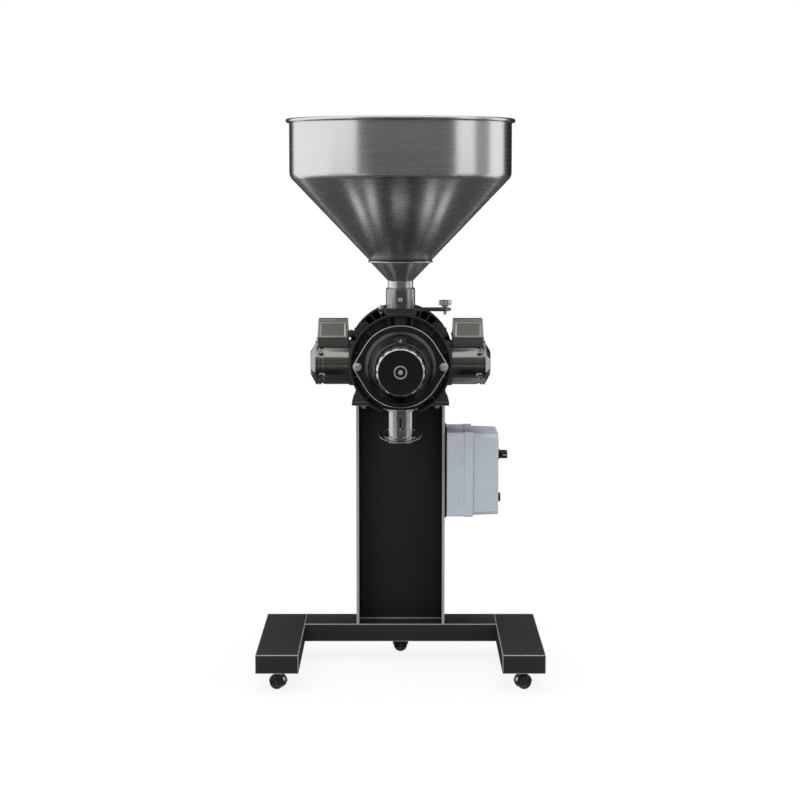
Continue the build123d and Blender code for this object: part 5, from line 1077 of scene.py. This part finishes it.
# Upright cards: grey, first and last bearing from the front, lowest and highest point
CARD_RADIUS = 3.2
CARDS = {
    "card_front_low": (0.16, -33.0, 54.0, 0.02, 0.52),
    "card_front_middle": (0.04, -75.0, 75.0, 0.52, 0.85),
    "card_front_high": (0.12, -43.0, 56.0, 0.85, 3.0),
    "card_right": (0.32, 79.0, 100.0, 0.02, 4.5),
    "card_back_low": (0.08, 128.0, 220.0, 0.02, 0.95),
    "card_back_high": (0.02, 128.0, 220.0, 0.95, 4.5),
}

# Rings just over the floor: grey, inner and outer radius, first and last bearing from the right.
# Two of them are open at the sides, where the hopper's cone sees the white floor
FLOOR_CARD_HEIGHT = 0.012
FLOOR_CARDS = {
    "card_floor_0": (0.06, 0.001, 0.42, 0.0, 360.0),
    "card_floor_1": (0.06, 0.58, 0.72, 0.0, 360.0),
    "card_floor_2": (0.07, 0.90, 3.1, 0.0, 360.0),
    "card_floor_inner_back": (0.06, 0.42, 0.58, 30.0, 150.0),
    "card_floor_inner_front": (0.06, 0.42, 0.58, 205.0, 335.0),
    "card_floor_outer_back": (0.07, 0.72, 0.90, 45.0, 135.0),
    "card_floor_outer_front": (0.07, 0.72, 0.90, 172.0, 368.0),
}

# Soft lamps: place, aim, size, power
LAMPS = {
    "key": ((-2.4, -2.6, 3.0), (0.0, 0.0, 0.9), (1.6, 1.6), 48.0),
    "fill": ((2.6, -2.0, 2.0), (0.0, 0.0, 0.9), (1.2, 2.2), 28.0),
    "overhead": ((0.0, 0.2, 4.2), (0.0, 0.2, 0.0), (2.5, 2.5), 150.0),
}


def show_plainly(tree):
    """1 for what the camera, a reflection or glass sees, 0 for light that only falls on things."""
    seen = [tree.node("ShaderNodeLightPath", output=name)
            for name in ("Is Camera Ray", "Is Glossy Ray", "Is Transmission Ray")]
    return seen[0].larger(seen[1]).larger(seen[2])


def world_light():
    """White surroundings, and a softer even light that falls on the object."""
    world = bpy.data.worlds.new("studio")
    bpy.context.scene.world = world
    tree = Tree(world)
    strength = 0.5 + 0.5 * show_plainly(tree)
    tree.feed(tree.nodes["Background"], {"Color": (1.0, 1.0, 1.0), "Strength": strength})


def stage_piece(shape, name, material):
    """A part of the studio."""
    mesh = mesh_of(shape, name)
    mesh.materials.append(material)
    made = placed(name, mesh)
    return made


def floor():
    """Pale floor that shows white to the camera and keeps the object's shadow."""
    shape = bmesh.new()
    bmesh.ops.create_grid(shape, x_segments=1, y_segments=1, size=30.0)
    material = bpy.data.materials.new("pale_floor")
    tree = Tree(material)
    shader = tree.nodes["Principled BSDF"]
    tree.feed(shader, {"Base Color": (0.86, 0.86, 0.86), "Roughness": 0.9})
    glow = tree.node("ShaderNodeEmission", None, {"Color": (1.0, 1.0, 1.0), "Strength": 1.0})
    place = tree.node("ShaderNodeTexCoord", output="Object")
    reach = tree.node("ShaderNodeVectorMath", {"operation": "LENGTH"}, {0: place}, "Value")
    far = tree.node("ShaderNodeMapRange", {"interpolation_type": "SMOOTHSTEP"},
                    {"Value": reach, "From Min": 0.5, "From Max": 1.9, "To Min": 0.88, "To Max": 1.0})
    both = tree.node("ShaderNodeMixShader", None,
                     {0: show_plainly(tree) * far, 1: Value(tree, shader.outputs[0]), 2: glow})
    tree.feed(tree.nodes["Material Output"], {"Surface": both})
    stage_piece(shape, "floor", material)


def card(shape, name, grey):
    """A studio card that glows in an even grey and that only reflections see."""
    material = bpy.data.materials.new(name)
    tree = Tree(material)
    glow = tree.node("ShaderNodeEmission", None, {"Color": (grey, grey, grey), "Strength": 1.0})
    tree.feed(tree.nodes["Material Output"], {"Surface": glow})
    made = stage_piece(shape, name, material)
    made.visible_camera = False
    made.visible_diffuse = False
    made.visible_shadow = False
    made.visible_transmission = False


def swept_card(name, grey, first, second, start, end, steps):
    """A card made by sweeping the line between two points round the object."""
    shape = bmesh.new()
    turn = Matrix.Rotation(math.radians(start), 4, UP)
    corners = [shape.verts.new(turn @ Vector(corner)) for corner in (first, second)]
    edge = shape.edges.new(corners)
    bmesh.ops.spin(shape, geom=corners + [edge], cent=(0, 0, 0), axis=UP,
                   angle=math.radians(end - start), steps=steps)
    bmesh.ops.remove_doubles(shape, verts=shape.verts, dist=0.0001)
    card(shape, name, grey)


def cards():
    """Upright cards, rings just over the floor, and two dark strips in front that the motors reflect."""
    for name, (grey, start, end, low, high) in CARDS.items():
        swept_card(name, grey, (0, -CARD_RADIUS, low), (0, -CARD_RADIUS, high), start, end,
                   max(2, round((end - start) / 6.0)))
    for name, (grey, inner, outer, start, end) in FLOOR_CARDS.items():
        swept_card(name, grey, (inner, 0, FLOOR_CARD_HEIGHT), (outer, 0, FLOOR_CARD_HEIGHT), start, end, 48)
    for side in (-1, 1):
        height = 2 * FLOOR_CARD_HEIGHT
        start, end = Vector((side * 0.24, -0.40, height)), Vector((side * 0.30, -1.4, height))
        aside = (end - start).cross(UP).normalized() * 0.13
        strip = bmesh.new()
        strip.faces.new([strip.verts.new(corner)
                         for corner in (start - aside, start + aside, end + aside, end - aside)])
        card(strip, "strip_%d" % (side > 0), 0.012)


def lamp(name, place, aim, size, power):
    """A soft rectangular lamp."""
    light = bpy.data.lights.new(name, "AREA")
    light.shape = "RECTANGLE"
    light.size, light.size_y = size
    light.energy = power
    holder = placed(name, light)
    holder.location = place
    holder.rotation_euler = (Vector(aim) - Vector(place)).to_track_quat("-Z", "Y").to_euler()
    holder.visible_glossy = False


def camera():
    """The photograph's camera."""
    data = bpy.data.cameras.new("photograph")
    data.lens = CAMERA_LENS
    data.sensor_width = CAMERA_SENSOR
    data.sensor_fit = "HORIZONTAL"
    data.shift_x = CAMERA_SHIFT
    data.clip_end = 100.0
    holder = placed("photograph", data)
    holder.location = CAMERA_PLACE
    holder.rotation_euler = (math.radians(90.0 - CAMERA_PITCH), 0.0, 0.0)
    bpy.context.scene.camera = holder


def studio():
    """Camera, floor, surroundings, cards and lamps."""
    camera()
    floor()
    world_light()
    cards()
    for name, values in LAMPS.items():
        lamp(name, *values)


studio()
dress_nodes()
build()
bpy.context.scene.view_settings.view_transform = "Standard"
